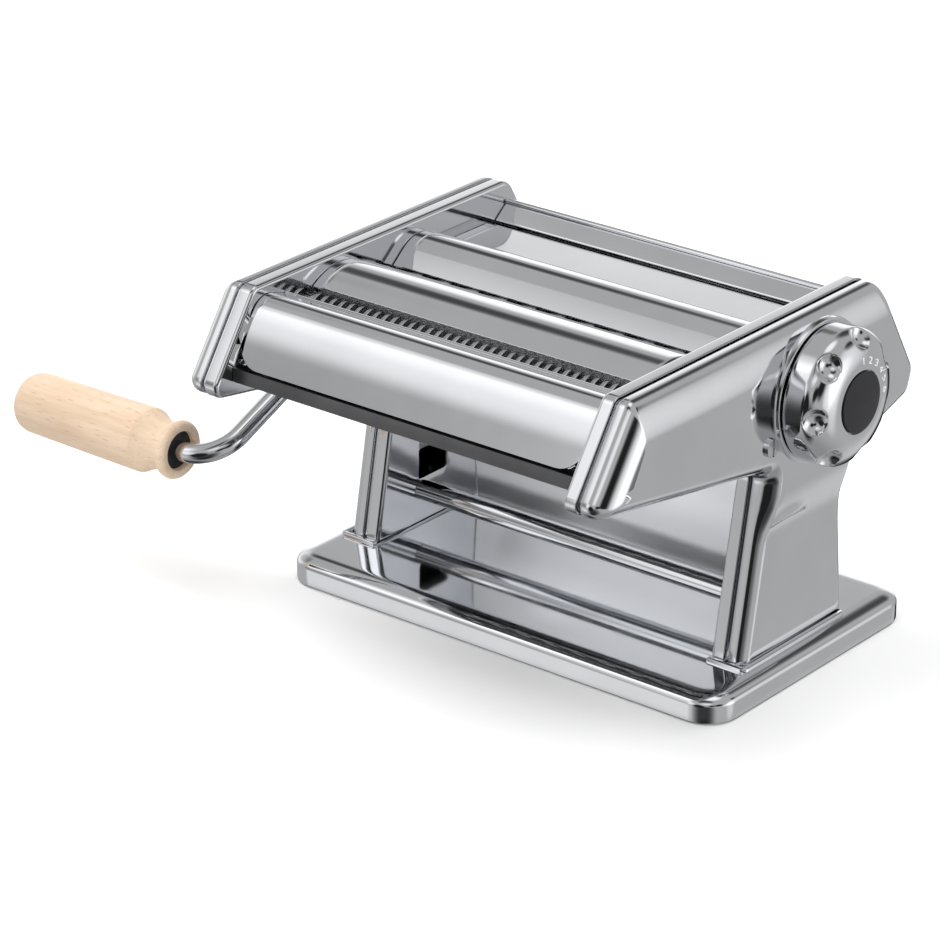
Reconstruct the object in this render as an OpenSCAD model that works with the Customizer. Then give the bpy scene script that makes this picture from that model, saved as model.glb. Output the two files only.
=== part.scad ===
// Hand cranked pasta machine: X runs along the rollers, front is -Y, Z is up.
// The origin is the centre of the base's footprint, on the surface that it stands on.

/* [Working width] */
// Clear width between the two side plates
clear_w = 152; // [140:1:180]
// Gap between a roller's end and the side plate
roller_end_gap = 1; // [0.8:0.1:1.5]

/* [Base tray] */
// How far the base reaches beyond each side plate's inner face
base_side_w = 22.4; // [20:0.2:30]
// Depth of the base from front to back
base_d = 120; // [112:1:140]
// Height of the base's flat top above the table
base_top = 10.5; // [9:0.5:14]
// Radius of the base's corners seen from above
base_corner_r = 12.2; // [9:0.2:16]
// Width of the rounding between the base's wall and its flat top
base_edge_w = 7; // [4:0.5:8]
// Height of that rounding
base_edge_h = 4; // [2:0.5:5]
// Sheet thickness of the base
base_t = 1.2; // [0.8:0.1:1.6]
// Radius of a rubber foot
foot_r = 8; // [6:0.5:10]

/* [Side panels] */
// Sheet thickness of a side plate
plate_t = 1; // [0.8:0.1:1.2]
// Width of the flange that is turned outwards round a side plate
flange_w = 5.6; // [4.5:0.1:6.2]
// Sheet thickness of an outer cover
cover_t = 1; // [0.8:0.1:1.2]
// Depth of the housing, from the side plate's inner face to the outer cover's main face
housing_w = 17; // [16:0.5:20]
// Depth of the leg, from the side plate's inner face to its outer face
leg_w = 14; // [12.5:0.5:14.5]
// Height of the panel's top edge above the base
panel_h = 121.5; // [119:0.5:126]
// How far the panel's front tip lies below its top edge
tip_drop = 35.2; // [32.5:0.1:37.5]

/* [Smooth rollers] */
// Radius of a smooth roller
smooth_r = 11.4; // [11:0.1:11.6]
// Gap between the smooth rollers at the first setting
nip_gap = 0.4; // [0.3:0.1:0.6]
// How much the dial opens that gap
gap_travel = 2.2; // [1.4:0.1:2.4]
// How far the smooth rollers' axes lie below the panel's top edge
smooth_drop = 33; // [32:0.5:34]

/* [Cutter rollers] */
// Outer radius of a cutter roller's ridges
cutter_r = 11.2; // [10.5:0.1:11.4]
// How deep the ridges of a pair run into each other
cutter_mesh = 1.8; // [1.2:0.1:2]
// Depth of the grooves
groove_depth = 2.5; // [2.2:0.1:3]
// Width of a wide noodle
wide_cut = 6.5; // [5:0.5:8]
// Width of a fine noodle
fine_cut = 2; // [2:0.5:3]
// Gap on each side of a ridge in its groove
cut_side_gap = 0.15; // [0.1:0.05:0.25]

/* [Dial] */
// Radius of the dial's rim
dial_r = 25; // [22:0.5:26]
// How far the dial stands out from the housing's face
dial_h = 18.5; // [17:0.5:21]
// Turn of the dial from the first setting to the last, in degrees
dial_turn = 80; // [60:5:90]
// Number of finger hollows in the dial
dial_hollows = 7; // [4:1:8]

/* [Crank] */
// Radius of the crank's steel rod
rod_r = 3.75; // [3.4:0.05:3.9]
// Distance from the crank's hub to its grip, measured along the arm
crank_arm = 115; // [100:1:130]
// Angle of the arm below the horizontal at rest, in degrees
crank_angle = 23.4; // [0:0.1:40]
// Length of the wooden grip
grip_l = 77; // [65:1:90]
// Largest radius of the wooden grip
grip_r = 12.2; // [11.8:0.1:14]

/* [Hidden] */

// Fits and finish
$fn = 64;
arc_steps = 5;
over = 1;
seat_gap = 0.2;
run_gap = 0.05;
free_gap = 0.3;
hem_r = 1.3;
sheet_t = 0.8;

// Main planes
half_w = clear_w / 2;
plate_x = half_w + plate_t;
flange_x = half_w + flange_w;
leg_x = half_w + leg_w;
face_x = half_w + housing_w;
half_base_w = half_w + base_side_w;

// Corners of the side panel, front to back along the bottom and forward along the top
front_top_y = -97.4;
tip_y = -121.5;
crotch_y = -19.3;
foot_front_y = -32.6;
foot_rear_y = 30;
waist_y = 26.5;
rear_crotch_y = 28.8;
belly_y = 63.3;
bulge_y = 67.5;
rear_top_y = 45.5;
crotch_drop = 51.6;
waist_drop = 80;
rear_crotch_drop = 60;
belly_drop = 49.5;
bulge_drop = 37.5;
crease_drop = 73;
crease_h = 6;
front_top_r = 5;
tip_r = 4.5;
crotch_r = 5;
waist_r = 60;
rear_crotch_r = 8;
belly_r = 6;
bulge_r = 9;
rear_top_r = 7;
top_z = base_top + panel_h;

PANEL = [
    [front_top_y, top_z, front_top_r],
    [tip_y, top_z - tip_drop, tip_r],
    [crotch_y, top_z - crotch_drop, crotch_r],
    [foot_front_y, base_top, 0],
    [foot_rear_y, base_top, 0],
    [waist_y, top_z - waist_drop, waist_r],
    [rear_crotch_y, top_z - rear_crotch_drop, rear_crotch_r],
    [belly_y, top_z - belly_drop, belly_r],
    [bulge_y, top_z - bulge_drop, bulge_r],
    [rear_top_y, top_z, rear_top_r]
];

// A point on the line from a to b, at a height
function at_height(a, b, z) = [a[0] + (b[0] - a[0]) * (z - a[1]) / (b[1] - a[1]), z, 0];

// The outer cover's outline has two more corners on each leg edge, where the face steps up
crease_z = top_z - crease_drop;

COVER = [
    PANEL[0],
    PANEL[1],
    PANEL[2],
    at_height(PANEL[2], PANEL[3], crease_z + crease_h),
    at_height(PANEL[2], PANEL[3], crease_z),
    PANEL[3],
    PANEL[4],
    PANEL[5],
    at_height(PANEL[5], PANEL[6], crease_z),
    at_height(PANEL[5], PANEL[6], crease_z + crease_h),
    PANEL[6],
    PANEL[7],
    PANEL[8],
    PANEL[9]
];
COVER_ON_LEG = [0, 0, 0, 0, 1, 1, 1, 1, 1, 0, 0, 0, 0, 0];
COVER_BOTTOM_EDGE = 5;

// Outer cover: its lip slides into the plate's flange, then come a bead and a bevel
lip_w = 3.6;
cover_groove_w = 1.8;
bead_w = 2.6;
bead_inset = 0.2;
lip_inset = plate_t + seat_gap;
leg_edge_r = 2.4;
bevel_top = 13.5;
bevel_front = 9;
bevel_low = 5.5;
bevel_rear = 4.5;
bevel_leg = 5;
bevel_mid = (bevel_leg + leg_edge_r) / 2;
COVER_BEVEL = [
    bevel_front, bevel_low, bevel_leg, bevel_mid, leg_edge_r, 0, leg_edge_r, leg_edge_r,
    bevel_mid, bevel_leg, bevel_low, bevel_rear, bevel_rear, bevel_top
];

// How far each ring of the cover has risen, and how far it has moved inwards, as shares
HOUSING_STEP_SHARES = [[0, 0], [0.3, 0.16], [0.6, 0.46], [0.88, 0.8], [1, 1]];
LEG_STEP_SHARES = [[0, 0], [0.45, 0.06], [0.75, 0.24], [0.93, 0.56], [1, 1]];

// Roller axes
nip_y = 31;
wide_drop = 25;
fine_drop = 21;
smooth_z = top_z - smooth_drop;
smooth_gap_y = smooth_r + nip_gap / 2;
front_smooth_y = nip_y - smooth_gap_y;
rear_smooth_y = nip_y + smooth_gap_y;
wide_nip_y = -30;
wide_z = top_z - wide_drop;
fine_nip_y = -76.4;
fine_z = top_z - fine_drop;
cutter_half = cutter_r - cutter_mesh / 2;
front_wide_y = wide_nip_y - cutter_half;
rear_wide_y = wide_nip_y + cutter_half;
front_fine_y = fine_nip_y - cutter_half;
rear_fine_y = fine_nip_y + cutter_half;
roller_x = half_w - roller_end_gap;
journal_r = 5.5;
bush_wall = 1.5;
bush_flange_w = 1.4;
bush_r = journal_r + run_gap + bush_wall;
bush_flange_r = bush_r + bush_flange_w;
bush_flange_t = roller_end_gap - free_gap;

// Gears sit outside the left side plate
gear_teeth = 14;
gear_w = 6;
gear_out = 4.2;
gear_x = half_w + gear_out;
gear_backlash = 0.9;
pressure_angle = 20;
addendum_share = 0.85;
dedendum_share = 1.25;
socket_sunk = 2.5;
socket_end_x = face_x - socket_sunk;
socket_r = 3.9;
socket_depth = 20;
socket_slot_w = 2.7;
socket_slot_l = 4;
cross_pin_r = 1.2;
cross_pin_half = 4.6;
collar_t = 1.8;
collar_gap = 0.35;
collar_hole_r = journal_r + collar_gap;
collar_r = 8.2;

// Carriage that moves the rear smooth roller
carriage_t = 2;
carriage_x = plate_x + free_gap;
carriage_low = 7;
carriage_high = 7;
carriage_rear = 9;
carriage_rod_r = 2.2;
carriage_rod_dy = 5.8;
carriage_rod_dz = -13.4;
carriage_rod_y = rear_smooth_y + carriage_rod_dy;
carriage_rod_z = smooth_z + carriage_rod_dz;
carriage_wall = 1.2;
guide_w = 16;
guide_h = 3;

// Dial shaft, with the round cam that moves the carriage
dial_y = 4;
dial_drop = 27;
dial_z = top_z - dial_drop;
shaft_r = 3.5;
cam_r = 6;
cam_e = gap_travel / (2 * sin(dial_turn / 2));
cam_start = -90 - dial_turn / 2;
cam_gap = 0.08;
cam_play = 0.6;
cam_y = dial_y + cam_e * cos(cam_start);
cam_z = dial_z + cam_e * sin(cam_start);
cam_mid_z = dial_z - cam_e * (1 - sin(cam_start)) / 2;
pad_wall = 3;

// Dial parts, measured outwards from the housing's face
boss_t = 1.6;
boss_foot_r = 26.8;
boss_rim_r = 26;
boss_core_r = 8;
boss_core_l = 7;
stud_r = 1.8;
stud_h = 1.7;
stud_ring_r = 20.5;
stud_count = 6;
stud_start = 25;
neck_r = 13;
neck_h = 2.4;
rim_h = 5;
rim_edge = 0.6;
dial_pull = 4;
cap_r = 11.2;
cap_seat = 1.9;
cap_t = 1.7;
spring_r = 5.9;
spring_wire = 1.2;
shaft_head_r = 5.5;
shaft_head_t = 1.5;
key_w = 1.6;
key_h = 1;
groove_r = 9.8;
groove_w = 3;
groove_d = 1;
index_r = 1.2;
index_l = 0.7;
hollow_r = 5.6;
hollow_in = 1.2;
hollow_ring_r = dial_r - hollow_in;
hollow_low = 4.6;
hollow_h = dial_h - hollow_low;
hollow_start = 29;
dial_floor = face_x + boss_t + free_gap;
dial_top = face_x + dial_h;

// Crank
bend_r = 15;
bend_sunk = 0.5;
crank_x = face_x + bend_r - bend_sunk;
hub_in = 16;
crank_pull = 30;
grip_start = 0.9;
grip_ring_l = 4.4;
grip_ring_r = 11.1;
grip_neck_r = 8.4;
grip_neck_l = 8;
grip_shoulder_l = 19;
grip_end_r = 11.6;
grip_end_l = 6;
grip_recess_r = 7.3;
grip_recess_l = 5;
grip_bush_t = 2.5;
washer_t = 1.4;
washer_r = 6;
washer_recess_r = 7.2;
washer_recess_l = 3.2;

// Sheets between the side plates: distances inside the panel's edges, and heights
cover_gap = 2;
tab_drop = 0.45;
front_cover_in = 4.5;
front_cover_top = 2.6;
front_bend_r = 9;
front_corner_r = 10;
front_hem_y = -81.4;
front_hem_drop = 6.6;
front_low_drop = 25.3;
comb_t = 1;
comb_clear = 0.5;
fine_bar_front_w = 12;
fine_bar_rear_w = 2.8;
wide_bar_front_w = 10;
wide_bar_rear_w = 8;
comb_lip_h = 5.2;
middle_front_y = -67;
middle_rear_y = -36.5;
middle_apex_y = -52.5;
middle_apex_up = 1.2;
middle_foot_drop = 8;
middle_r = 26;
feed_front_y = -22.8;
feed_apex_y = -8.5;
feed_apex_drop = 1.5;
feed_foot_drop = 13.3;
feed_r = 15;
shelf_y = 9;
shelf_drop = 12.7;
slot_front_y = 32.2;
slot_rear_y = 36.8;
slot_lip = 2.2;
plate_low_drop = 13.3;
plate_top_y = 43.6;
plate_top_drop = 8;
rear_in = 2.6;
rear_seam_y = 55;

// Rods and screws
tie_r = 3;
tie_bar_r = 4;
tie_bar_y = -6.5;
tie_bar_rise = 13.4;
tie_bar_z = base_top + tie_bar_rise;
front_tie_y = -102.6;
front_tie_drop = 22.3;
mid_tie_drop = 47.5;
rear_tie_y = 45.6;
rear_tie_drop = 14.3;
TIE_PLACES = [
    [front_tie_y, top_z - front_tie_drop],
    [0, top_z - mid_tie_drop],
    [rear_tie_y, top_z - rear_tie_drop]
];
screw_head_r = 4;
screw_head_h = 1.6;
screw_shank_r = 2;
screw_slot_w = 1;
screw_slot_d = 0.8;
cover_screw_r = 3.4;
cover_screw_y = -24.5;
cover_screw_drop = 39.1;
COVER_SCREW_PLACES = [[cover_screw_y, top_z - cover_screw_drop]];

// Opening in each leg's side plate
port_y = -8.4;
port_w = 16.6;
port_rise = 17.6;
port_h = 12.4;
lip_t = 1.4;
lip_side = 2.5;
lip_front = 2.4;
lip_rear_y = 27;
lip_corner_r = 2.5;

// Outline helpers
straight_share = 0.97;
function unit(v) = v / norm(v);
function flat(p) = [p[0], p[1]];
function side_normal(a, b) = let (u = unit(flat(b) - flat(a))) [-u[1], u[0]];
function turn(a, b) = a[0] * b[1] - a[1] * b[0];

// One corner of a closed outline moved inwards by d1 from the edge before it and d2 from the one after
function inset_corner(a, p, b, d1, d2) =
    let (
        n1 = side_normal(a, p),
        n2 = side_normal(p, b),
        c = n1 * n2,
        straight = c > straight_share,
        k1 = straight ? d1 / 2 : (d1 - c * d2) / (1 - c * c),
        k2 = straight ? d2 / 2 : (d2 - c * d1) / (1 - c * c),
        q = flat(p) + k1 * n1 + k2 * n2,
        convex = turn(n1, n2) > 0,
        r = p[2] == 0 ? 0 : convex ? max(p[2] - min(d1, d2), p[2] / 4) : p[2] + min(d1, d2)
    )
    [q[0], q[1], r];

function inset(corners, d) =
    let (n = len(corners))
    [
        for (i = [0 : n - 1])
            inset_corner(corners[(i + n - 1) % n], corners[i], corners[(i + 1) % n],
                d[(i + n - 1) % n], d[i])
    ];

function evenly(corners, d) = [for (c = corners) d];

// Points of one rounded corner
function corner_points(a, p, b) =
    let (
        u = unit(flat(a) - flat(p)),
        v = unit(flat(b) - flat(p)),
        half = acos(u * v) / 2,
        centre = flat(p) + unit(u + v) * p[2] / sin(half),
        start = flat(p) + u * p[2] / tan(half) - centre,
        side = turn(u, v) < 0 ? 1 : -1,
        sweep = 180 - 2 * half,
        first = atan2(start[1], start[0])
    )
    p[2] == 0 ? [flat(p)]
        : [
            for (k = [0 : arc_steps])
                let (t = first + side * sweep * k / arc_steps)
                centre + p[2] * [cos(t), sin(t)]
        ];

function outline(corners) =
    let (n = len(corners))
    [
        for (i = [0 : n - 1])
            each corner_points(corners[(i + n - 1) % n], corners[i], corners[(i + 1) % n])
    ];

// An open line with rounded corners
function path(corners) =
    let (n = len(corners))
    [
        flat(corners[0]),
        for (i = [1 : n - 2]) each corner_points(corners[i - 1], corners[i], corners[i + 1]),
        flat(corners[n - 1])
    ];

// The same line moved sideways by t
function path_normal(points, i) =
    let (
        n = len(points),
        a = points[max(i - 1, 0)],
        b = points[min(i + 1, n - 1)]
    )
    side_normal(a, b);

function band(points, t) = concat(
    points,
    [for (i = [len(points) - 1 : -1 : 0]) points[i] + t * path_normal(points, i)]
);

// Solids along X
module slab(x0, x1) {
    translate([x0, 0, 0]) rotate([90, 0, 90]) linear_extrude(x1 - x0) children();
}

module bar_x(x0, x1, r, y, z) {
    translate([x0, y, z]) rotate([0, 90, 0]) cylinder(h = x1 - x0, r = r);
}

module at_axis(y, z) {
    translate([0, y, z]) rotate([0, 90, 0]) children();
}

module both_sides() {
    children();
    mirror([1, 0, 0]) children();
}

function ring_x(x, points) = [for (p = points) [x, p[0], p[1]]];

function ring_z(z, points) = [for (p = points) [p[0], p[1], z]];

function count_up(a, b) = [for (i = [a : b]) i];

// A closed skin through rings of equal count: each end is closed by the faces that caps lists
module skin(rings, caps) {
    n = len(rings[0]);
    last = (len(rings) - 1) * n;
    walls = [
        for (k = [0 : len(rings) - 2], i = [0 : n - 1])
            let (
                a = k * n + i,
                b = k * n + (i + 1) % n,
                c = b + n,
                d = a + n
            )
            each [[a, d, c], [a, c, b]]
    ];
    ends = [for (cap = caps) [for (i = [len(cap) - 1 : -1 : 0]) last + cap[i]]];
    polyhedron(points = [for (r = rings) each r], faces = concat(caps, walls, ends), convexity = 6);
}

// Base tray
function base_outline(d) =
    let (x = half_base_w, y = base_d / 2)
    outline(inset(
        [
            [x, -y, base_corner_r],
            [x, y, base_corner_r],
            [-x, y, base_corner_r],
            [-x, -y, base_corner_r]
        ],
        [d, d, d, d]
    ));

// One side of the tray's sheet, from the rim up to the flat top
function base_rings(in) =
    let (wall_z = base_top - base_edge_h)
    [
        ring_z(-over, base_outline(in)),
        for (k = [0 : arc_steps])
            let (t = 90 * k / arc_steps)
            ring_z(
                wall_z + (base_edge_h - in) * sin(t),
                base_outline(in + (base_edge_w - in) * (1 - cos(t)))
            )
    ];

function reversed(list) = [for (i = [len(list) - 1 : -1 : 0]) list[i]];

module base_tray() {
    rings = concat(reversed(base_rings(base_t)), base_rings(0));
    color("silver") difference() {
        skin(rings, [count_up(0, len(rings[0]) - 1)]);
        translate([-half_base_w - over, -base_d / 2 - over, -2 * over])
            cube([2 * (half_base_w + over), base_d + 2 * over, 2 * over]);
    }
}

module rubber_feet() {
    x = half_base_w - base_edge_w - foot_r;
    y = base_d / 2 - base_edge_w - foot_r;
    color("dimgray")
    for (sx = [-1, 1], sy = [-1, 1])
        translate([sx * x, sy * y, 0]) cylinder(h = base_top - base_t, r = foot_r);
}

// Side plates
module panel_shape(d) {
    polygon(outline(inset(PANEL, evenly(PANEL, d))));
}

module tie_holes() {
    for (p = TIE_PLACES) translate(p) circle(r = screw_shank_r + run_gap);
    translate([tie_bar_y, tie_bar_z]) circle(r = screw_shank_r + run_gap);
}

module plate_holes() {
    for (p = [
        [front_smooth_y, smooth_z], [front_wide_y, wide_z], [rear_wide_y, wide_z],
        [front_fine_y, fine_z], [rear_fine_y, fine_z]
    ])
        translate(p) circle(r = bush_r + run_gap);
    tie_holes();
    travel_slot(rear_smooth_y, smooth_z, journal_r + free_gap);
    travel_slot(carriage_rod_y, carriage_rod_z, carriage_rod_r + run_gap);
    translate([port_y, base_top + port_rise]) square([port_w, port_h]);
}

module travel_slot(y, z, r) {
    translate([y, z]) circle(r = r);
    translate([y + gap_travel, z]) circle(r = r);
    translate([y, z - r]) square([gap_travel, 2 * r]);
}

module side_plate() {
    slab(half_w, plate_x) difference() {
        panel_shape(0);
        plate_holes();
    }
    slab(plate_x, flange_x) difference() {
        panel_shape(0);
        panel_shape(plate_t);
    }
}

module right_side_plate() {
    color("gainsboro") difference() {
        side_plate();
        bar_x(half_w - over, plate_x + over, shaft_r + run_gap, dial_y, dial_z);
    }
}

module left_side_plate() {
    color("gainsboro") mirror([1, 0, 0]) side_plate();
}

// Outer covers: one ring of the cover's skin, with its places across the housing and the leg
function cover_ring(edges, housing_at, leg_at) =
    let (c = inset(COVER, edges), n = len(c))
    [
        for (i = [0 : n - 1])
            let (x = COVER_ON_LEG[i] ? leg_at : housing_at)
            for (p = corner_points(c[(i + n - 1) % n], c[i], c[(i + 1) % n])) [x, p[0], p[1]]
    ];

function level_ring(edges, x) = cover_ring(edges, x, x);

// One side of the cover's sheet, d inside its outer side, from the lip to the face
function cover_rings(d) =
    let (
        lip = evenly(COVER, lip_inset + d),
        bead = [
            for (i = [0 : len(COVER) - 1]) i == COVER_BOTTOM_EDGE ? d : bead_inset + d
        ],
        bead_x = flange_x + cover_groove_w,
        side_x = bead_x + bead_w
    )
    [
        level_ring(lip, flange_x - lip_w),
        level_ring(lip, bead_x + d),
        if (d == 0) level_ring(bead, bead_x + seat_gap),
        for (k = [0 : len(LEG_STEP_SHARES) - 1])
            let (h = HOUSING_STEP_SHARES[k], l = LEG_STEP_SHARES[k])
            cover_ring(
                bead + COVER_BEVEL * h[1],
                side_x + (face_x - side_x) * h[0] - d,
                side_x + (leg_x - side_x) * l[0] - d
            )
    ];

module cover_sheet() {
    rings = concat(reversed(cover_rings(cover_t)), cover_rings(0));
    n = len(rings[0]);
    k = 3 * (arc_steps + 1);
    m = k + 4 + arc_steps + 1;
    skin(rings, [
        concat(count_up(m + 1, n - 1), count_up(0, k)),
        [k, k + 1, m],
        [k, m, m + 1],
        count_up(k + 1, m)
    ]);
}

// A hole through the outer cover's face
module face_hole(p, r) {
    bar_x(leg_x - over, face_x + over, r, p[0], p[1]);
}

// The cover with its screw holes and the holes that are given as children
module outer_cover() {
    difference() {
        cover_sheet();
        for (p = COVER_SCREW_PLACES) face_hole(p, screw_shank_r + run_gap);
        children();
    }
}

module right_outer_cover() {
    color("lightgray") outer_cover() face_hole([dial_y, dial_z], boss_core_r + seat_gap);
}

module left_outer_cover() {
    color("lightgray") mirror([1, 0, 0]) outer_cover()
        for (p = SOCKETS) face_hole(p, collar_hole_r);
}

SOCKETS = [[front_smooth_y, smooth_z], [rear_wide_y, wide_z], [rear_fine_y, fine_z]];

module foot_lips() {
    front = foot_front_y - lip_front;
    color("silver") both_sides()
    translate([0, 0, base_top]) linear_extrude(lip_t) difference() {
        union() {
            translate([half_w, front]) square([leg_w, lip_rear_y - front]);
            translate([half_w, front + lip_corner_r])
                square([leg_w + lip_side, lip_rear_y - front - 2 * lip_corner_r]);
            for (y = [front + lip_corner_r, lip_rear_y - lip_corner_r])
                translate([leg_x + lip_side - lip_corner_r, y]) circle(r = lip_corner_r);
        }
        translate([0, foot_front_y - seat_gap])
            square([leg_x + seat_gap, base_d]);
    }
}

module socket_collars() {
    color("dimgray")
    for (p = SOCKETS)
        translate([-face_x - collar_t, p[0], p[1]]) rotate([0, 90, 0]) difference() {
            cylinder(h = collar_t, r = collar_r);
            translate([0, 0, -over]) cylinder(h = collar_t + 2 * over, r = collar_hole_r);
        }
}

// Sheets between the side plates
module sheet(corners, t, half_l) {
    slab(-half_l, half_l) polygon(band(path(corners), t));
}

// Ends that drop a little below the sheet and reach the side plates
module end_tabs(corners, t) {
    lowered = [for (c = corners) [c[0], c[1] - tab_drop, c[2]]];
    both_sides() slab(half_w - 2 * cover_gap - over, half_w - seat_gap)
        polygon(band(path(lowered), t));
}

module hem(y, z, half_l) {
    bar_x(-half_l, half_l, hem_r, y, z);
}

// Direction of the panel's front edge, down and forward
front_run = unit([tip_y - front_top_y, -tip_drop]);
front_in = side_normal([front_top_y, 0], [tip_y, -tip_drop]) * front_cover_in;

// A point inside the front edge, at a depth below the panel's top edge
function front_point(drop) =
    let (s = (-drop - front_in[1]) / front_run[1])
    [front_top_y + front_in[0] + front_run[0] * s, top_z - drop];

FRONT_BEND = front_point(front_cover_top);
FRONT_LOW = front_point(front_low_drop);
FRONT_COVER = [
    [front_hem_y, top_z - front_hem_drop, 0],
    [FRONT_BEND[0], FRONT_BEND[1], front_bend_r],
    [FRONT_LOW[0], FRONT_LOW[1], 0]
];

// What the rounding of the cover's lower corners takes away, seen from the front
module front_corner() {
    translate([half_w - cover_gap - front_corner_r, 0, FRONT_LOW[1] - over]) rotate([90, 0, 0])
        linear_extrude(-tip_y) difference() {
            square([front_corner_r + cover_gap, front_corner_r + over]);
            translate([0, front_corner_r + over]) circle(r = front_corner_r);
        }
}

module front_cover() {
    tab_x = half_w - cover_gap - over;
    color("lightgray") difference() {
        union() {
            sheet(FRONT_COVER, sheet_t, half_w - cover_gap);
            hem(front_hem_y, top_z - front_hem_drop - hem_r / 2, half_w - cover_gap);
            both_sides() translate([0, tab_drop, -tab_drop]) slab(tab_x, half_w - seat_gap)
                polygon(band(path(FRONT_COVER), sheet_t));
        }
        both_sides() front_corner();
    }
}

MIDDLE_COVER = [
    [middle_rear_y, top_z - middle_foot_drop, 0],
    [middle_apex_y, top_z + middle_apex_up, middle_r],
    [middle_front_y, top_z - middle_foot_drop, 0]
];

module middle_cover() {
    color("lightgray") {
        sheet(MIDDLE_COVER, sheet_t, half_w - 2 * cover_gap);
        end_tabs(MIDDLE_COVER, sheet_t);
    }
}

FEED_COVER = [
    [slot_front_y, top_z - shelf_drop - slot_lip, 0],
    [slot_front_y, top_z - shelf_drop, sheet_t + seat_gap],
    [shelf_y, top_z - shelf_drop, feed_r / 2],
    [feed_apex_y, top_z - feed_apex_drop, feed_r],
    [feed_front_y, top_z - feed_foot_drop, 0]
];

module feed_cover() {
    color("lightgray") {
        sheet(FEED_COVER, sheet_t, half_w - 2 * cover_gap);
        end_tabs(FEED_COVER, sheet_t);
    }
}

REAR_FEED = [
    [plate_top_y, top_z - plate_top_drop, 0],
    [slot_rear_y, top_z - plate_low_drop, sheet_t + seat_gap],
    [slot_rear_y, top_z - plate_low_drop - slot_lip, 0]
];

module rear_feed_plate() {
    color("lightgray") {
        sheet(REAR_FEED, sheet_t, half_w - seat_gap);
        hem(plate_top_y, top_z - plate_top_drop, half_w - 2 * cover_gap);
    }
}

REAR_INSIDE = inset(PANEL, evenly(PANEL, rear_in));

// A point between two corners, where y is given
function at_y(a, b, y) = [y, a[1] + (b[1] - a[1]) * (y - a[0]) / (b[0] - a[0]), 0];

REAR_COVER = [
    at_y(REAR_INSIDE[6], REAR_INSIDE[7], rear_seam_y + free_gap),
    REAR_INSIDE[7],
    REAR_INSIDE[8],
    at_height(REAR_INSIDE[8], REAR_INSIDE[9], top_z - plate_top_drop - 2 * hem_r)
];

module rear_cover() {
    color("lightgray") sheet(REAR_COVER, sheet_t, half_w - seat_gap);
}

LOWER_REAR = [
    [REAR_INSIDE[4][0], base_top + seat_gap, 0],
    REAR_INSIDE[5],
    REAR_INSIDE[6],
    at_y(REAR_INSIDE[6], REAR_INSIDE[7], rear_seam_y - free_gap)
];

module lower_rear_panel() {
    color("gainsboro") sheet(LOWER_REAR, sheet_t, half_w - seat_gap);
}

// Rods, bar and screws
module tie_rods() {
    color("silver")
    for (p = TIE_PLACES) bar_x(-half_w, half_w, tie_r, p[0], p[1]);
}

module lower_tie_bar() {
    color("silver") bar_x(-half_w, half_w, tie_bar_r, tie_bar_y, tie_bar_z);
}

module screw_head(x, r, h) {
    translate([x, 0, 0]) rotate([0, 90, 0]) difference() {
        cylinder(h = h, r = r);
        translate([-r - over, -screw_slot_w / 2, h - screw_slot_d])
            cube([2 * (r + over), screw_slot_w, screw_slot_d + over]);
    }
}

module tie_screws() {
    places = concat(TIE_PLACES, [[tie_bar_y, tie_bar_z]]);
    color("gray") both_sides()
    for (p = places) translate([0, p[0], p[1]]) {
        screw_head(plate_x, screw_head_r, screw_head_h);
        bar_x(half_w, plate_x, screw_shank_r, 0, 0);
    }
}

module cover_screws() {
    color("gray") both_sides()
    for (p = COVER_SCREW_PLACES) translate([0, p[0], p[1]]) {
        screw_head(face_x, cover_screw_r, screw_head_h);
        bar_x(plate_x, face_x, screw_shank_r, 0, 0);
    }
}

// Bushes in the side plates
module bush(y, z) {
    translate([0, y, z]) rotate([0, 90, 0]) difference() {
        union() {
            translate([0, 0, half_w - bush_flange_t]) cylinder(h = bush_flange_t, r = bush_flange_r);
            translate([0, 0, half_w]) cylinder(h = plate_t, r = bush_r);
        }
        translate([0, 0, half_w - over]) cylinder(h = plate_t + 2 * over, r = journal_r + run_gap);
    }
}

module bearing_bushes() {
    color("ivory") both_sides() {
        bush(front_smooth_y, smooth_z);
        bush(front_wide_y, wide_z);
        bush(rear_wide_y, wide_z);
        bush(front_fine_y, fine_z);
        bush(rear_fine_y, fine_z);
    }
}

// Gears
function involute(a) = tan(a) * 180 / PI - a;

function gear_points(rp, n) =
    let (
        m = 2 * rp / n,
        rb = rp * cos(pressure_angle),
        ra = rp + m * addendum_share,
        rf = rp - m * dedendum_share,
        half = 90 / n - gear_backlash + involute(pressure_angle),
        flank_steps = 4,
        flank = [
            for (k = [0 : flank_steps])
                let (r = rb + (ra - rb) * k / flank_steps)
                [r, half - involute(acos(rb / r))]
        ]
    )
    [
        for (i = [0 : n - 1])
            let (c = 360 * i / n)
            each concat(
                [rf * [cos(c - half), sin(c - half)]],
                [for (f = flank) f[0] * [cos(c - f[1]), sin(c - f[1])]],
                [
                    for (k = [flank_steps : -1 : 0])
                        flank[k][0] * [cos(c + flank[k][1]), sin(c + flank[k][1])]
                ],
                [rf * [cos(c + half), sin(c + half)]]
            )
    ];

// phase is the turn of the gear in teeth
module gear(y, z, rp, phase) {
    color("darkgray") translate([0, y, z]) slab(-gear_x - gear_w, -gear_x) difference() {
        rotate(phase * 360 / gear_teeth) polygon(gear_points(rp, gear_teeth));
        circle(r = journal_r + run_gap);
    }
}

smooth_pitch_r = smooth_gap_y;
cutter_pitch_r = cutter_half;

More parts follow.
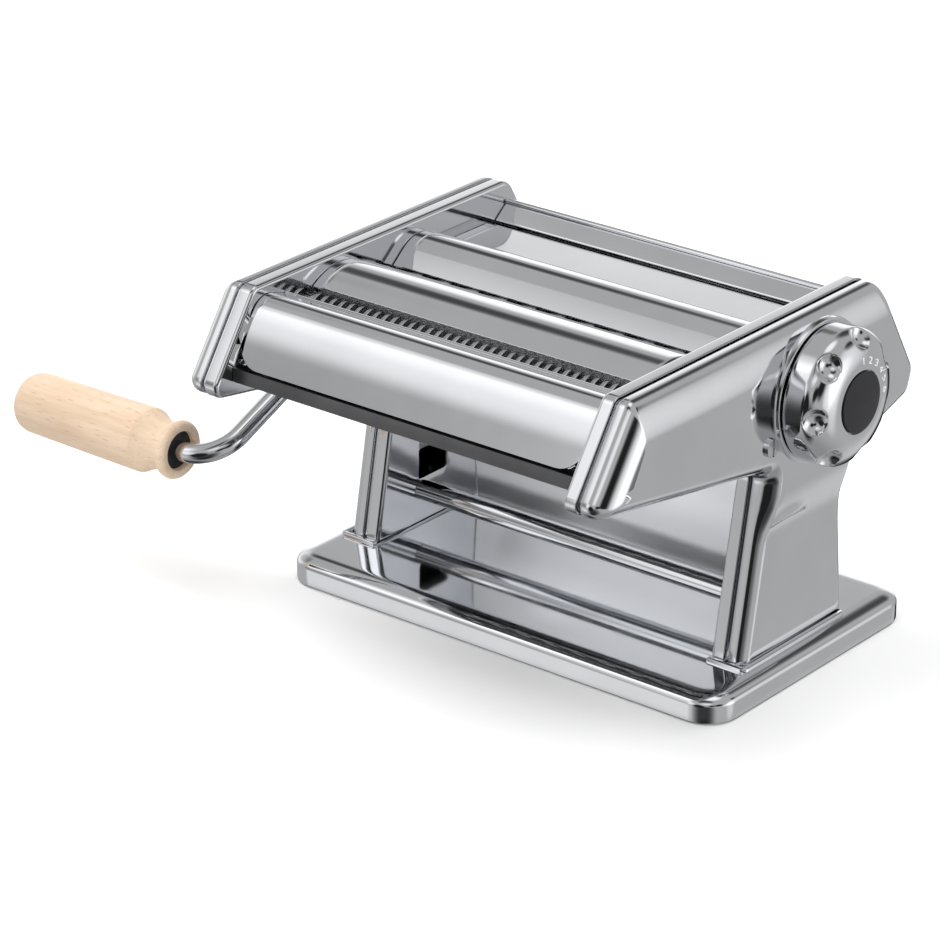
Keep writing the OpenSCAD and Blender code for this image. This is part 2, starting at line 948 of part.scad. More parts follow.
module front_smooth_gear() { gear(front_smooth_y, smooth_z, smooth_pitch_r, 0); }
module rear_smooth_gear() { gear(rear_smooth_y, smooth_z, smooth_pitch_r, 0.5); }
module front_wide_gear() { gear(front_wide_y, wide_z, cutter_pitch_r, 0); }
module rear_wide_gear() { gear(rear_wide_y, wide_z, cutter_pitch_r, 0.5); }
module front_fine_gear() { gear(front_fine_y, fine_z, cutter_pitch_r, 0); }
module rear_fine_gear() { gear(rear_fine_y, fine_z, cutter_pitch_r, 0.5); }

// Journals: a driven one is longer on the left and ends in the crank's socket
module journals(y, z, left_x, right_x) {
    bar_x(-left_x, right_x, journal_r, y, z);
}

module crank_socket(y, z) {
    bar_x(-socket_end_x - over, -socket_end_x + socket_depth, socket_r, y, z);
    translate([-socket_end_x - over, y - socket_slot_w / 2, z - journal_r - over])
        cube([socket_slot_l + over, socket_slot_w, 2 * (journal_r + over)]);
}

module smooth_body(y) {
    bar_x(-roller_x, roller_x, smooth_r, y, smooth_z);
}

module front_smooth_roller() {
    color("darkgray") difference() {
        union() {
            smooth_body(front_smooth_y);
            journals(front_smooth_y, smooth_z, socket_end_x, plate_x);
        }
        crank_socket(front_smooth_y, smooth_z);
    }
}

module rear_smooth_roller() {
    color("darkgray") {
        smooth_body(rear_smooth_y);
        journals(rear_smooth_y, smooth_z, gear_x + gear_w, carriage_x + carriage_t);
    }
}

// Profile of a cutter: ridges start at the middle, or half a pitch away on its partner
function cutter_profile(cut, shifted) =
    let (
        pitch = 2 * cut,
        ridge = cut - 2 * cut_side_gap,
        count = floor((2 * roller_x - cut) / pitch / 2),
        shift = shifted ? cut : 0,
        low = cutter_r - groove_depth
    )
    [
        [0, -roller_x],
        [low, -roller_x],
        for (k = [-count : count - (shifted ? 1 : 0)])
            let (x = k * pitch + shift)
            each [
                [low, x - ridge / 2], [cutter_r, x - ridge / 2],
                [cutter_r, x + ridge / 2], [low, x + ridge / 2]
            ],
        [low, roller_x],
        [0, roller_x]
    ];

module cutter(y, z, cut, shifted, driven) {
    color("darkgray") difference() {
        union() {
            at_axis(y, z) rotate_extrude() polygon(cutter_profile(cut, shifted));
            journals(y, z, driven ? socket_end_x : gear_x + gear_w, plate_x);
        }
        if (driven) crank_socket(y, z);
    }
}

module front_wide_cutter() { cutter(front_wide_y, wide_z, wide_cut, true, false); }
module rear_wide_cutter() { cutter(rear_wide_y, wide_z, wide_cut, false, true); }
module front_fine_cutter() { cutter(front_fine_y, fine_z, fine_cut, true, false); }
module rear_fine_cutter() { cutter(rear_fine_y, fine_z, fine_cut, false, true); }

// Combs: flat teeth that stand in the grooves under a cutter, on a bar away from the nip
module comb(y, z, cut, shifted, out, bar_w) {
    pitch = 2 * cut;
    tooth = cut - 2 * free_gap;
    count = floor((2 * roller_x - cut) / pitch / 2);
    shift = shifted ? 0 : cut;
    bar_y = y + out * cutter_r;
    translate([0, 0, comb_top(z) - comb_t]) linear_extrude(comb_t) {
        translate([-half_w + seat_gap, min(bar_y, bar_y + out * bar_w)])
            square([2 * (half_w - seat_gap), bar_w]);
        for (k = [-count : count - (shifted ? 0 : 1)])
            translate([k * pitch + shift - tooth / 2, min(y, bar_y)]) square([tooth, cutter_r]);
    }
}

function comb_top(z) = z - cutter_r + groove_depth - comb_clear;

module fine_combs() {
    color("dimgray") {
        comb(front_fine_y, fine_z, fine_cut, true, -1, fine_bar_front_w);
        translate([
            -half_w + seat_gap,
            front_fine_y - cutter_r - fine_bar_front_w,
            comb_top(fine_z) - comb_t
        ])
            cube([2 * (half_w - seat_gap), comb_t, comb_lip_h]);
        comb(rear_fine_y, fine_z, fine_cut, false, 1, fine_bar_rear_w);
    }
}

module wide_combs() {
    color("dimgray") {
        comb(front_wide_y, wide_z, wide_cut, true, -1, wide_bar_front_w);
        comb(rear_wide_y, wide_z, wide_cut, false, 1, wide_bar_rear_w);
    }
}

// Scraper blades under the smooth rollers: an edge close to the roller, a tail away from it
scraper_run_y = 9;
scraper_run_z = 4.6;
scraper_edge_y = 3.2;
scraper_edge_z = 11.3;

module smooth_scraper() {
    tip = [front_smooth_y - scraper_edge_y, smooth_z - scraper_edge_z - free_gap];
    color("dimgray") slab(-half_w + seat_gap, half_w - seat_gap)
        polygon(band([tip - [scraper_run_y, scraper_run_z], tip], -comb_t));
}

module carriage_scraper() {
    tip = [rear_smooth_y + scraper_edge_y, smooth_z - scraper_edge_z - free_gap];
    tail = [carriage_rod_y, carriage_rod_z + carriage_rod_r + comb_t + run_gap];
    color("dimgray") slab(-roller_x, roller_x)
        polygon([tip, tail - [0, comb_t], tail, tip + [0, sheet_t / 2]]);
}

// Carriage
module carriage_plate_shape() {
    y1 = rear_smooth_y + carriage_rear;
    z0 = carriage_rod_z - carriage_rod_r - carriage_wall;
    z1 = smooth_z + carriage_high;
    rear_y0 = rear_smooth_y - carriage_rear;
    translate([rear_y0, z0]) square([y1 - rear_y0, z1 - z0]);
}

module carriage_rod_hole() {
    translate([carriage_rod_y, carriage_rod_z]) circle(r = carriage_rod_r + run_gap);
    translate([rear_smooth_y, smooth_z]) circle(r = journal_r + run_gap);
}

module carriage_right_plate() {
    arm_y = cam_y - cam_r - pad_wall;
    color("gray") slab(carriage_x, carriage_x + carriage_t) difference() {
        union() {
            carriage_plate_shape();
            translate([arm_y, smooth_z - carriage_low])
                square([rear_smooth_y - arm_y, carriage_low + carriage_high]);
            translate([arm_y, smooth_z - carriage_low])
                square([2 * (cam_r + pad_wall), cam_mid_z - smooth_z + carriage_low + cam_r + pad_wall]);
        }
        carriage_rod_hole();
        for (dz = [-cam_play, cam_play])
            translate([cam_y, cam_mid_z + dz]) circle(r = cam_r + cam_gap);
        translate([cam_y - cam_r - cam_gap, cam_mid_z - cam_play])
            square([2 * (cam_r + cam_gap), 2 * cam_play]);
    }
}

module carriage_left_plate() {
    color("gray") slab(-carriage_x - carriage_t, -carriage_x) difference() {
        carriage_plate_shape();
        carriage_rod_hole();
    }
}

module carriage_rod() {
    x = carriage_x + carriage_t;
    color("gray") bar_x(-x, x, carriage_rod_r, carriage_rod_y, carriage_rod_z);
}

// Strips on the side plates that the carriage plates slide under
module slide_guides() {
    z = smooth_z + carriage_high + seat_gap;
    y = rear_smooth_y - carriage_rear;
    color("silver") {
        both_sides() slab(plate_x, carriage_x + carriage_t)
            translate([y, z]) square([guide_w, guide_h]);
        slab(plate_x, carriage_x + carriage_t)
            translate([front_smooth_y - guide_w / 2, smooth_z - carriage_low - seat_gap - guide_h])
            square([guide_w, guide_h]);
    }
}

// Dial
module dial_boss() {
    color("lightgray") difference() {
        at_axis(dial_y, dial_z) {
            translate([0, 0, face_x]) rotate_extrude() polygon([
                [0, 0], [boss_foot_r, 0], [boss_foot_r, seat_gap],
                [boss_rim_r, boss_t - seat_gap], [boss_rim_r - seat_gap, boss_t], [0, boss_t]
            ]);
            translate([0, 0, face_x - boss_core_l]) cylinder(h = boss_core_l, r = boss_core_r);
        }
        bar_x(face_x - boss_core_l - over, face_x + boss_t + over, shaft_r + run_gap, dial_y, dial_z);
        at_axis(dial_y, dial_z) translate([0, 0, face_x + boss_t - groove_d]) difference() {
            cylinder(h = groove_d + over, r = groove_r + groove_w / 2);
            translate([0, 0, -over])
                cylinder(h = groove_d + 3 * over, r = groove_r - groove_w / 2);
        }
    }
}

module dial_studs() {
    color("silver")
    for (i = [0 : stud_count - 1])
        let (a = stud_start + 360 * i / stud_count)
        translate([0, stud_ring_r * cos(a), stud_ring_r * sin(a)])
            bar_x(face_x + boss_t, face_x + boss_t + stud_h, stud_r, dial_y, dial_z);
}

shaft_end = dial_top - cap_seat - free_gap;

module dial_shaft() {
    color("gray") {
        bar_x(half_w + seat_gap, shaft_end, shaft_r, dial_y, dial_z);
        bar_x(carriage_x + seat_gap, carriage_x + carriage_t - seat_gap, cam_r, cam_y, cam_z);
        bar_x(shaft_end - shaft_head_t, shaft_end, shaft_head_r, dial_y, dial_z);
        translate([dial_floor + seat_gap, dial_y - key_w / 2, dial_z])
            cube([neck_h + rim_h, key_w, shaft_r + key_h]);
    }
}

function dome_points() =
    let (
        x0 = neck_h + rim_h,
        x1 = dial_top - dial_floor - cap_seat / 2,
        r1 = cap_r + 1.4 * rim_edge,
        steps = 9
    )
    [
        for (k = [0 : steps])
            let (t = 90 * k / steps)
            [r1 + (dial_r - r1) * cos(t), x0 + (x1 - x0) * sin(t)]
    ];

module dial_knob() {
    top = dial_top - dial_floor;
    shoulder = neck_h + rim_edge + key_h;
    color("lightgray") difference() {
        at_axis(dial_y, dial_z) translate([0, 0, dial_floor]) rotate_extrude() polygon(concat(
            [
                [0, 0], [neck_r, 0], [neck_r, neck_h - free_gap], [dial_r - rim_edge, neck_h - free_gap],
                [dial_r, neck_h + rim_edge]
            ],
            dome_points(),
            [[cap_r + seat_gap, top - cap_seat / 2], [cap_r + seat_gap, top - cap_seat], [0, top - cap_seat]]
        ));
        bar_x(dial_floor - over, dial_top + over, shaft_r + run_gap, dial_y, dial_z);
        bar_x(dial_floor + shoulder, dial_top + over, shaft_head_r + 2 * free_gap, dial_y, dial_z);
        translate([dial_floor - over, dial_y - key_w / 2 - seat_gap / 2, dial_z])
            cube([shoulder + 2 * over, key_w + seat_gap, shaft_r + key_h + seat_gap]);
        for (i = [0 : dial_hollows - 1])
            let (a = hollow_start + 360 * i / dial_hollows)
            translate([dial_floor + hollow_h, dial_y, dial_z]) rotate([a, 0, 0])
                translate([0, hollow_ring_r, 0]) sphere(r = hollow_r);
    }
}

module dial_cap() {
    color([0.1, 0.1, 0.12])
        at_axis(dial_y, dial_z) translate([0, 0, dial_top - cap_seat]) rotate_extrude() polygon([
            [0, 0], [cap_r, 0], [cap_r, cap_t - seat_gap], [cap_r - seat_gap, cap_t], [0, cap_t]
        ]);
}

module dial_spring() {
    x = dial_floor + neck_h + rim_edge + key_h;
    spring_l = shaft_end - shaft_head_t - x - dial_pull - free_gap;
    color("gray") at_axis(dial_y, dial_z) translate([0, 0, x]) difference() {
        cylinder(h = spring_l, r = spring_r);
        translate([0, 0, -over]) cylinder(h = spring_l + 2 * over, r = spring_r - spring_wire);
    }
}

module index_pin() {
    a = cam_start;
    color("gray") bar_x(
        dial_floor - index_l, dial_floor, index_r,
        dial_y + groove_r * cos(a), dial_z + groove_r * sin(a)
    );
}

// Crank, drawn on its own axes and then turned down to its rest angle about the hub
module on_crank() {
    translate([0, front_smooth_y, smooth_z]) rotate([crank_angle, 0, 0]) children();
}

module rod_bend(centre, plane_turn) {
    translate(centre) rotate([0, 0, plane_turn]) rotate_extrude(angle = 90)
        translate([bend_r, 0]) circle(r = rod_r);
}

hub_in_x = -socket_end_x + hub_in;
hub_out_x = -crank_x + bend_r;
spindle_x = -crank_x - bend_r;
grip_x = spindle_x - grip_start;
grip_far_x = grip_x - grip_l;
spindle_end_x = grip_far_x + washer_recess_l;

module crank_rod() {
    color("silver") on_crank() difference() {
        union() {
            bar_x(hub_out_x, hub_in_x, rod_r, 0, 0);
            rod_bend([hub_out_x, -bend_r, 0], 90);
            translate([-crank_x, -bend_r, 0]) rotate([90, 0, 0])
                cylinder(h = crank_arm - 2 * bend_r, r = rod_r);
            rod_bend([spindle_x, bend_r - crank_arm, 0], -90);
            bar_x(spindle_end_x, spindle_x, rod_r, -crank_arm, 0);
        }
        translate([-socket_end_x + socket_slot_l / 2, 0, 0]) rotate([-crank_angle, 0, 0])
            translate([0, 0, -rod_r - over])
            cylinder(h = 2 * (rod_r + over), r = cross_pin_r + run_gap);
    }
}

module crank_pin() {
    color("gray") on_crank()
        translate([-socket_end_x + socket_slot_l / 2, 0, 0]) rotate([-crank_angle, 0, 0])
            translate([0, 0, -cross_pin_half]) cylinder(h = 2 * cross_pin_half, r = cross_pin_r);
}

module grip_washer() {
    color("silver") on_crank()
        bar_x(spindle_end_x - washer_t, spindle_end_x, washer_r, -crank_arm, 0);
}

// Wooden grip: a round ring, a neck, a shoulder and a long body with a domed end
function grip_points() =
    let (
        ring_r = grip_ring_l / 2,
        ring_mid = grip_ring_r - ring_r,
        steps = 8
    )
    concat(
        [[0, 0]],
        [
            for (k = [0 : steps])
                let (t = -90 + 180 * k / steps)
                [ring_mid + ring_r * cos(t), ring_r + ring_r * sin(t)]
        ],
        [
            for (k = [0 : steps])
                let (t = k / steps, s = (1 - cos(180 * t)) / 2)
                [
                    grip_neck_r + (grip_r - grip_neck_r) * s,
                    grip_neck_l - grip_neck_l / 3 + (grip_shoulder_l - grip_neck_l * 2 / 3) * t
                ]
        ],
        [
            for (k = [0 : steps])
                let (t = 90 * k / steps)
                [
                    washer_recess_r + (grip_end_r - washer_recess_r) * cos(t),
                    grip_l - grip_end_l + grip_end_l * sin(t)
                ]
        ],
        [[0, grip_l]]
    );

module grip_axis() {
    on_crank() translate([grip_x, -crank_arm, 0]) rotate([0, -90, 0]) children();
}

module wooden_grip() {
    color("burlywood") grip_axis() difference() {
        rotate_extrude() polygon(grip_points());
        translate([0, 0, -over]) cylinder(h = grip_l + 2 * over, r = rod_r + 2 * run_gap);
        translate([0, 0, -over]) cylinder(h = grip_recess_l + over, r = grip_recess_r);
        translate([0, 0, grip_l - washer_recess_l - washer_t - seat_gap])
            cylinder(h = washer_recess_l + washer_t + seat_gap + over, r = washer_recess_r - free_gap);
    }
}

module grip_bush() {
    color("dimgray") grip_axis() translate([0, 0, grip_recess_l - grip_bush_t]) difference() {
        cylinder(h = grip_bush_t, r = grip_recess_r - run_gap);
        translate([0, 0, -over]) cylinder(h = grip_bush_t + 2 * over, r = rod_r + 2 * run_gap);
    }
}

base_tray();
rubber_feet();
left_side_plate();
right_side_plate();
left_outer_cover();
right_outer_cover();
foot_lips();
front_cover();
middle_cover();
feed_cover();
rear_feed_plate();
rear_cover();
lower_rear_panel();
tie_rods();
lower_tie_bar();
tie_screws();
cover_screws();
bearing_bushes();
fine_combs();
wide_combs();
smooth_scraper();
slide_guides();
front_smooth_roller();
front_smooth_gear();
rear_smooth_roller();
rear_smooth_gear();
carriage_right_plate();
carriage_left_plate();
carriage_rod();
carriage_scraper();
front_wide_cutter();
front_wide_gear();
rear_wide_cutter();
rear_wide_gear();
front_fine_cutter();
front_fine_gear();
rear_fine_cutter();
rear_fine_gear();
socket_collars();
dial_boss();
dial_studs();
dial_shaft();
dial_knob();
dial_cap();
dial_spring();
index_pin();
crank_rod();
crank_pin();
grip_washer();
wooden_grip();
grip_bush();
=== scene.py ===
"""Looks of a hand cranked pasta machine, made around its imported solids.

Sizes in the classes are in millimetres, as in the part's source, and every mesh is in metres.
"""

import logging
import math
from dataclasses import dataclass, field
from enum import Enum
from typing import Callable, Iterable, Optional, Sequence

import bmesh
import bpy
from mathutils import Matrix, Vector
from mathutils.geometry import delaunay_2d_cdt


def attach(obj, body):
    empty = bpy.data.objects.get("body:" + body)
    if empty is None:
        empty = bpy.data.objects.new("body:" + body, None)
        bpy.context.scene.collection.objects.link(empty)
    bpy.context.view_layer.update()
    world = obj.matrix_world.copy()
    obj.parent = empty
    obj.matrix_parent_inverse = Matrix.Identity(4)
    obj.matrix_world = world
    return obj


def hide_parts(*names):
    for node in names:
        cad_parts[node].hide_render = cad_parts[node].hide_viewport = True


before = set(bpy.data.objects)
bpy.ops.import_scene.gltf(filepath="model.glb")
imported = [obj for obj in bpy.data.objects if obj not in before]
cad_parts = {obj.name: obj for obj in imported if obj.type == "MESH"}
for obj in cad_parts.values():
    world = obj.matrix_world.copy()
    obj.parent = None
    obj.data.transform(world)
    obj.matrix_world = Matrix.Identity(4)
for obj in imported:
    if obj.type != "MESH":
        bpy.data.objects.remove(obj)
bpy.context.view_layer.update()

MM = 0.001
MERGE_MM = 1e-4  # points closer than this become one
AXIS_R = 0.02  # radius at which a turned profile ends on its axis
NEARLY_STRAIGHT = 0.97  # cosine between two edges that count as one line
LOG = logging.getLogger("pasta_machine")

Rgb = tuple[float, float, float]
Corner = tuple[float, float, float]
Flat = tuple[float, float]
Solid = tuple[float, float, float]
Face = tuple[int, ...]


class Side(Enum):
    """Which side of the machine a panel is on, as the sign of X."""

    LEFT = -1
    RIGHT = 1


class Axis(Enum):
    """Direction of a fine grain, as how much its pattern is stretched along X, Y and Z."""

    NONE = (1.0, 1.0, 1.0)
    ALONG_X = (0.02, 1.0, 1.0)
    AROUND_X = (1.0, 0.05, 0.05)


# Flat geometry


def unit(a: Flat) -> Flat:
    """Returns a flat vector at length one."""
    size = math.hypot(*a)
    return (a[0] / size, a[1] / size)


def inward(a: Flat, b: Flat) -> Flat:
    """Returns the normal to the left of the line from a to b."""
    run = unit((b[0] - a[0], b[1] - a[1]))
    return (-run[1], run[0])


def inset(corners: Sequence[Corner], distances: Sequence[float]) -> list[Corner]:
    """Moves the edges of a closed outline inwards.

    Args:
        corners: Corners as (first, second, radius), counterclockwise.
        distances: How far each edge moves, from the edge that starts at the first corner.

    Returns:
        The corners of the smaller outline, with radii that suit it.
    """
    made = []
    for i, here in enumerate(corners):
        before, after = corners[i - 1], corners[(i + 1) % len(corners)]
        d1, d2 = distances[i - 1], distances[i]
        n1, n2 = inward(before[:2], here[:2]), inward(here[:2], after[:2])
        c = n1[0] * n2[0] + n1[1] * n2[1]
        if c > NEARLY_STRAIGHT:
            k1, k2 = d1 / 2, d2 / 2
        else:
            k1, k2 = (d1 - c * d2) / (1 - c * c), (d2 - c * d1) / (1 - c * c)
        near = min(d1, d2)
        if n1[0] * n2[1] - n1[1] * n2[0] > 0:
            radius = max(here[2] - near, here[2] / 4)
        else:
            radius = here[2] + near
        made.append(
            (
                here[0] + k1 * n1[0] + k2 * n2[0],
                here[1] + k1 * n1[1] + k2 * n2[1],
                radius if here[2] else 0.0,
            )
        )
    return made


def arc(
    centre: Flat, reach: Flat, steps: int, start: float = 0.0, end: float = math.pi / 2
) -> list[Flat]:
    """Returns the points of a round or oval arc.

    Args:
        centre: The arc's centre.
        reach: The radius along each direction, below zero where that direction is mirrored.
        steps: Steps in the arc.
        start: The first point's angle.
        end: The last point's angle.

    Returns:
        The points in order.
    """
    turns = [start + (end - start) * k / steps for k in range(steps + 1)]
    return [(centre[0] + reach[0] * math.cos(t), centre[1] + reach[1] * math.sin(t)) for t in turns]


def corner_arc(before: Corner, here: Corner, after: Corner, steps: int) -> list[Flat]:
    """Returns the points of one rounded corner."""
    if not here[2]:
        return [(here[0], here[1])]
    u = unit((before[0] - here[0], before[1] - here[1]))
    v = unit((after[0] - here[0], after[1] - here[1]))
    half = math.acos(max(-1.0, min(1.0, u[0] * v[0] + u[1] * v[1]))) / 2
    w = unit((u[0] + v[0], u[1] + v[1]))
    reach = here[2] / math.sin(half)
    centre = (here[0] + w[0] * reach, here[1] + w[1] * reach)
    tangent = here[2] / math.tan(half)
    start = (here[0] + u[0] * tangent - centre[0], here[1] + u[1] * tangent - centre[1])
    first = math.atan2(start[1], start[0])
    turn = 1 if u[0] * v[1] - u[1] * v[0] < 0 else -1
    last = first + turn * (math.pi - 2 * half)
    return arc(centre, (here[2], here[2]), steps, first, last)


def closed_outline(
    corners: Sequence[Corner], steps: int = 4, cuts: Optional[Sequence[int]] = None
) -> list[Flat]:
    """Returns the points of a closed outline with rounded corners.

    Args:
        corners: Corners as (first, second, radius).
        steps: Steps in each rounded corner.
        cuts: Points added along each straight edge, or None for none.

    Returns:
        The outline's points in order.
    """
    n = len(corners)
    arcs = [corner_arc(corners[i - 1], corners[i], corners[(i + 1) % n], steps) for i in range(n)]
    points: list[Flat] = []
    for i, arc in enumerate(arcs):
        points += arc
        a, b = arc[-1], arcs[(i + 1) % n][0]
        more = cuts[i] if cuts else 0
        for k in range(1, more + 1):
            points.append(along(a, b, k / (more + 1)))
    return points


def edge_cuts(corners: Sequence[Corner], span: float) -> list[int]:
    """Returns how many points to add to each edge so that none is much longer than span."""
    n = len(corners)
    return [int(math.dist(corners[i][:2], corners[(i + 1) % n][:2]) / span) for i in range(n)]


def open_path(corners: Sequence[Corner], steps: int) -> list[Flat]:
    """Returns the points of an open line with rounded corners."""
    points: list[Flat] = [corners[0][:2]]
    for before, here, after in zip(corners, corners[1:], corners[2:]):
        points += corner_arc(before, here, after, steps)
    return points + [corners[-1][:2]]


def circle(centre: Flat, radius: float, count: int = 40) -> list[Flat]:
    """Returns a circle's points."""
    return arc(centre, (radius, radius), count, 0.0, math.tau)[:-1]


def inside(point: Flat, loop: Sequence[Flat]) -> bool:
    """Returns whether a point lies in a closed loop."""
    hit = False
    for a, b in zip(loop, [*loop[1:], loop[0]]):
        if (a[1] > point[1]) != (b[1] > point[1]):
            if point[0] < (b[0] - a[0]) * (point[1] - a[1]) / (b[1] - a[1]) + a[0]:
                hit = not hit
    return hit


def along(a: Sequence[float], b: Sequence[float], share: float) -> Flat:
    """Returns the place at a share of the way from a to b."""
    return (a[0] + (b[0] - a[0]) * share, a[1] + (b[1] - a[1]) * share)


def smooth_step(low: float, high: float, value: float) -> float:
    """Returns 0 below low and 1 above high, with a smooth rise between them."""
    t = max(0.0, min(1.0, (value - low) / (high - low)))
    return t * t * (3 - 2 * t)


def filled(
    border: Sequence[Flat],
    holes: Sequence[Sequence[Flat]],
    span: float,
    finer: Sequence[Flat] = (),
) -> tuple[list[Flat], list[Face]]:
    """Fills a closed border with small triangles.

    Args:
        border: The border's points.
        holes: Loops that stay open.
        span: Distance between the points that are put inside.
        finer: More points, where the area has fine relief.

    Returns:
        The points, the border's first, and the triangles.
    """
    points = [Vector(p) for p in border]
    edges = [(i, (i + 1) % len(border)) for i in range(len(border))]
    for loop in holes:
        first = len(points)
        points += [Vector(p) for p in loop]
        edges += [(first + i, first + (i + 1) % len(loop)) for i in range(len(loop))]
    rims = [list(border), *[list(h) for h in holes]]
    low = [min(p[i] for p in border) for i in (0, 1)]
    high = [max(p[i] for p in border) for i in (0, 1)]
    rows = int((high[1] - low[1]) / span)
    columns = int((high[0] - low[0]) / span)
    clear = 0.55 * span
    for j in range(1, rows):
        for i in range(columns):
            p = (low[0] + span * (i + 0.5 * (j % 2)), low[1] + span * j)
            if not inside(p, border) or any(inside(p, h) for h in holes):
                continue
            if min(math.dist(p, q) for rim in rims for q in rim) > clear:
                points.append(Vector(p))
    points += [Vector(p) for p in finer]
    found, _, faces, *_ = delaunay_2d_cdt(points, edges, [], 0, 1e-7)
    kept = []
    for f in faces:
        middle = (
            sum(found[i][0] for i in f) / len(f),
            sum(found[i][1] for i in f) / len(f),
        )
        if inside(middle, border) and not any(inside(middle, h) for h in holes):
            kept.append(tuple(f))
    return [(p[0], p[1]) for p in found], kept


# Meshes


def linked(name: str, data: bpy.types.ID) -> bpy.types.Object:
    """Puts a mesh, text, lamp or camera into the scene as an object."""
    obj = bpy.data.objects.new(name, data)
    bpy.context.scene.collection.objects.link(obj)
    return obj


def meshed(name: str, bm: bmesh.types.BMesh) -> bpy.types.Mesh:
    """Returns the plain mesh of an edit mesh, which is freed."""
    mesh = bpy.data.meshes.new(name)
    bm.to_mesh(mesh)
    bm.free()
    return mesh


@dataclass
class Shape:
    """Points in millimetres and faces of one piece, before it becomes an object."""

    points: list[Solid] = field(default_factory=list)
    faces: list[Face] = field(default_factory=list)

    def ring(self, points: Iterable[Solid]) -> list[int]:
        """Adds points and returns their numbers."""
        first = len(self.points)
        self.points += list(points)
        return list(range(first, len(self.points)))

    def bridge(self, a: Sequence[int], b: Sequence[int], closed: bool = True) -> None:
        """Joins two rows of points of equal count with four-sided faces.

        Args:
            a: The first row's numbers.
            b: The second row's numbers.
            closed: Whether the rows are loops.
        """
        n = len(a)
        for i in range(n if closed else n - 1):
            j = (i + 1) % n
            self.faces.append((a[i], a[j], b[j], b[i]))

    def loft(self, rings: Sequence[Sequence[Solid]], closed: bool = True) -> list[list[int]]:
        """Adds rings and joins each to the next.

        Args:
            rings: Rows of points of equal count.
            closed: Whether each row is a loop.

        Returns:
            The numbers of each ring's points.
        """
        rows = [self.ring(r) for r in rings]
        for a, b in zip(rows, rows[1:]):
            self.bridge(a, b, closed)
        return rows

    def fan(self, ring: Sequence[int], tip: Solid) -> None:
        """Closes a ring with triangles that meet at a tip."""
        (top,) = self.ring([tip])
        for i, a in enumerate(ring):
            self.faces.append((a, ring[(i + 1) % len(ring)], top))

    def build(
        self,
        name: str,
        facing: Optional[Vector] = None,
        smooth_deg: float = 38,
    ) -> bpy.types.Object:
        """Makes the object.

        Args:
            name: The piece's name.
            facing: For an open skin, the way that its outer side faces.
            smooth_deg: Edges sharper than this stay sharp.

        Returns:
            The new object, linked to the scene.
        """
        bm = bmesh.new()
        rows = [bm.verts.new((p[0] * MM, p[1] * MM, p[2] * MM)) for p in self.points]
        for f in self.faces:
            loop = list(dict.fromkeys(f))
            if len(loop) > 2:
                try:
                    bm.faces.new([rows[i] for i in loop])
                except ValueError:
                    LOG.debug("%s: a face was there already", name)
        bmesh.ops.remove_doubles(bm, verts=bm.verts, dist=MERGE_MM * MM)
        bmesh.ops.recalc_face_normals(bm, faces=bm.faces)
        if facing is not None:
            total = sum((f.normal * f.calc_area() for f in bm.faces), Vector())
            if total.dot(facing) < 0:
                bmesh.ops.reverse_faces(bm, faces=bm.faces)
        mesh = meshed(name, bm)
        mesh.shade_smooth()
        mesh.set_sharp_from_angle(angle=math.radians(smooth_deg))
        return linked(name, mesh)

    def skin(
        self,
        node: str,
        finish: bpy.types.Material,
        slot: str,
        body: str = "frame",
        facing: Optional[Vector] = None,
        smooth_deg: float = 38,
    ) -> bpy.types.Object:
        """Makes the object that stands for one solid, and settles it.

        Args:
            node: The solid.
            finish: The object's finish.
            slot: Not used; it is passed on to settle, which ignores it.
            body: The body that it moves with.
            facing: For an open skin, the way that its outer side faces.
            smooth_deg: Edges sharper than this stay sharp.

        Returns:
            The new object.
        """
        made = self.build(f"{node}_skin", facing, smooth_deg)
        return settle(made, finish, slot, body, node)


def thicken(obj: bpy.types.Object, mm: float, offset: float = -1.0, even: bool = True) -> None:
    """Gives an open skin its sheet thickness."""
    skin = obj.modifiers.new("sheet", "SOLIDIFY")
    skin.thickness = mm * MM
    skin.offset = offset
    skin.use_even_offset = even


def flat_shaded(obj: bpy.types.Object, weight: int = 80) -> None:
    """Keeps a piece's large faces flat beside its rounded ones."""
    even = obj.modifiers.new("even", "WEIGHTED_NORMAL")
    even.keep_sharp = True
    even.weight = weight


def soften(obj: bpy.types.Object, mm: float) -> None:
    """Rounds a sheet's sharp edges a little and keeps its large faces flat."""
    edge = obj.modifiers.new("edge", "BEVEL")
    edge.width = mm * MM
    edge.segments = 2
    edge.limit_method = "ANGLE"
    edge.angle_limit = math.radians(60)
    edge.use_clamp_overlap = True
    flat_shaded(obj, 50)


def lathe(
    shape: Shape, profile: Sequence[Flat], origin: Solid, around: int = 96, way: int = 1
) -> None:
    """Turns a closed profile round a line along X.

    Args:
        shape: The shape that takes the points.
        profile: Points as (radius, distance along the line).
        origin: The line's start.
        around: Steps in a full turn.
        way: 1 where the line runs to the right, -1 where it runs to the left.
    """
    start, run = Vector(origin), Vector((way, 0, 0))
    side, up = Vector((0, way, 0)), Vector((0, 0, 1))
    turns = [math.tau * k / around for k in range(around)]
    rows = shape.loft(
        [
            [
                tuple(start + run * height + (side * math.cos(t) + up * math.sin(t)) * radius)
                for t in turns
            ]
            for radius, height in profile
        ]
    )
    shape.bridge(rows[-1], rows[0])


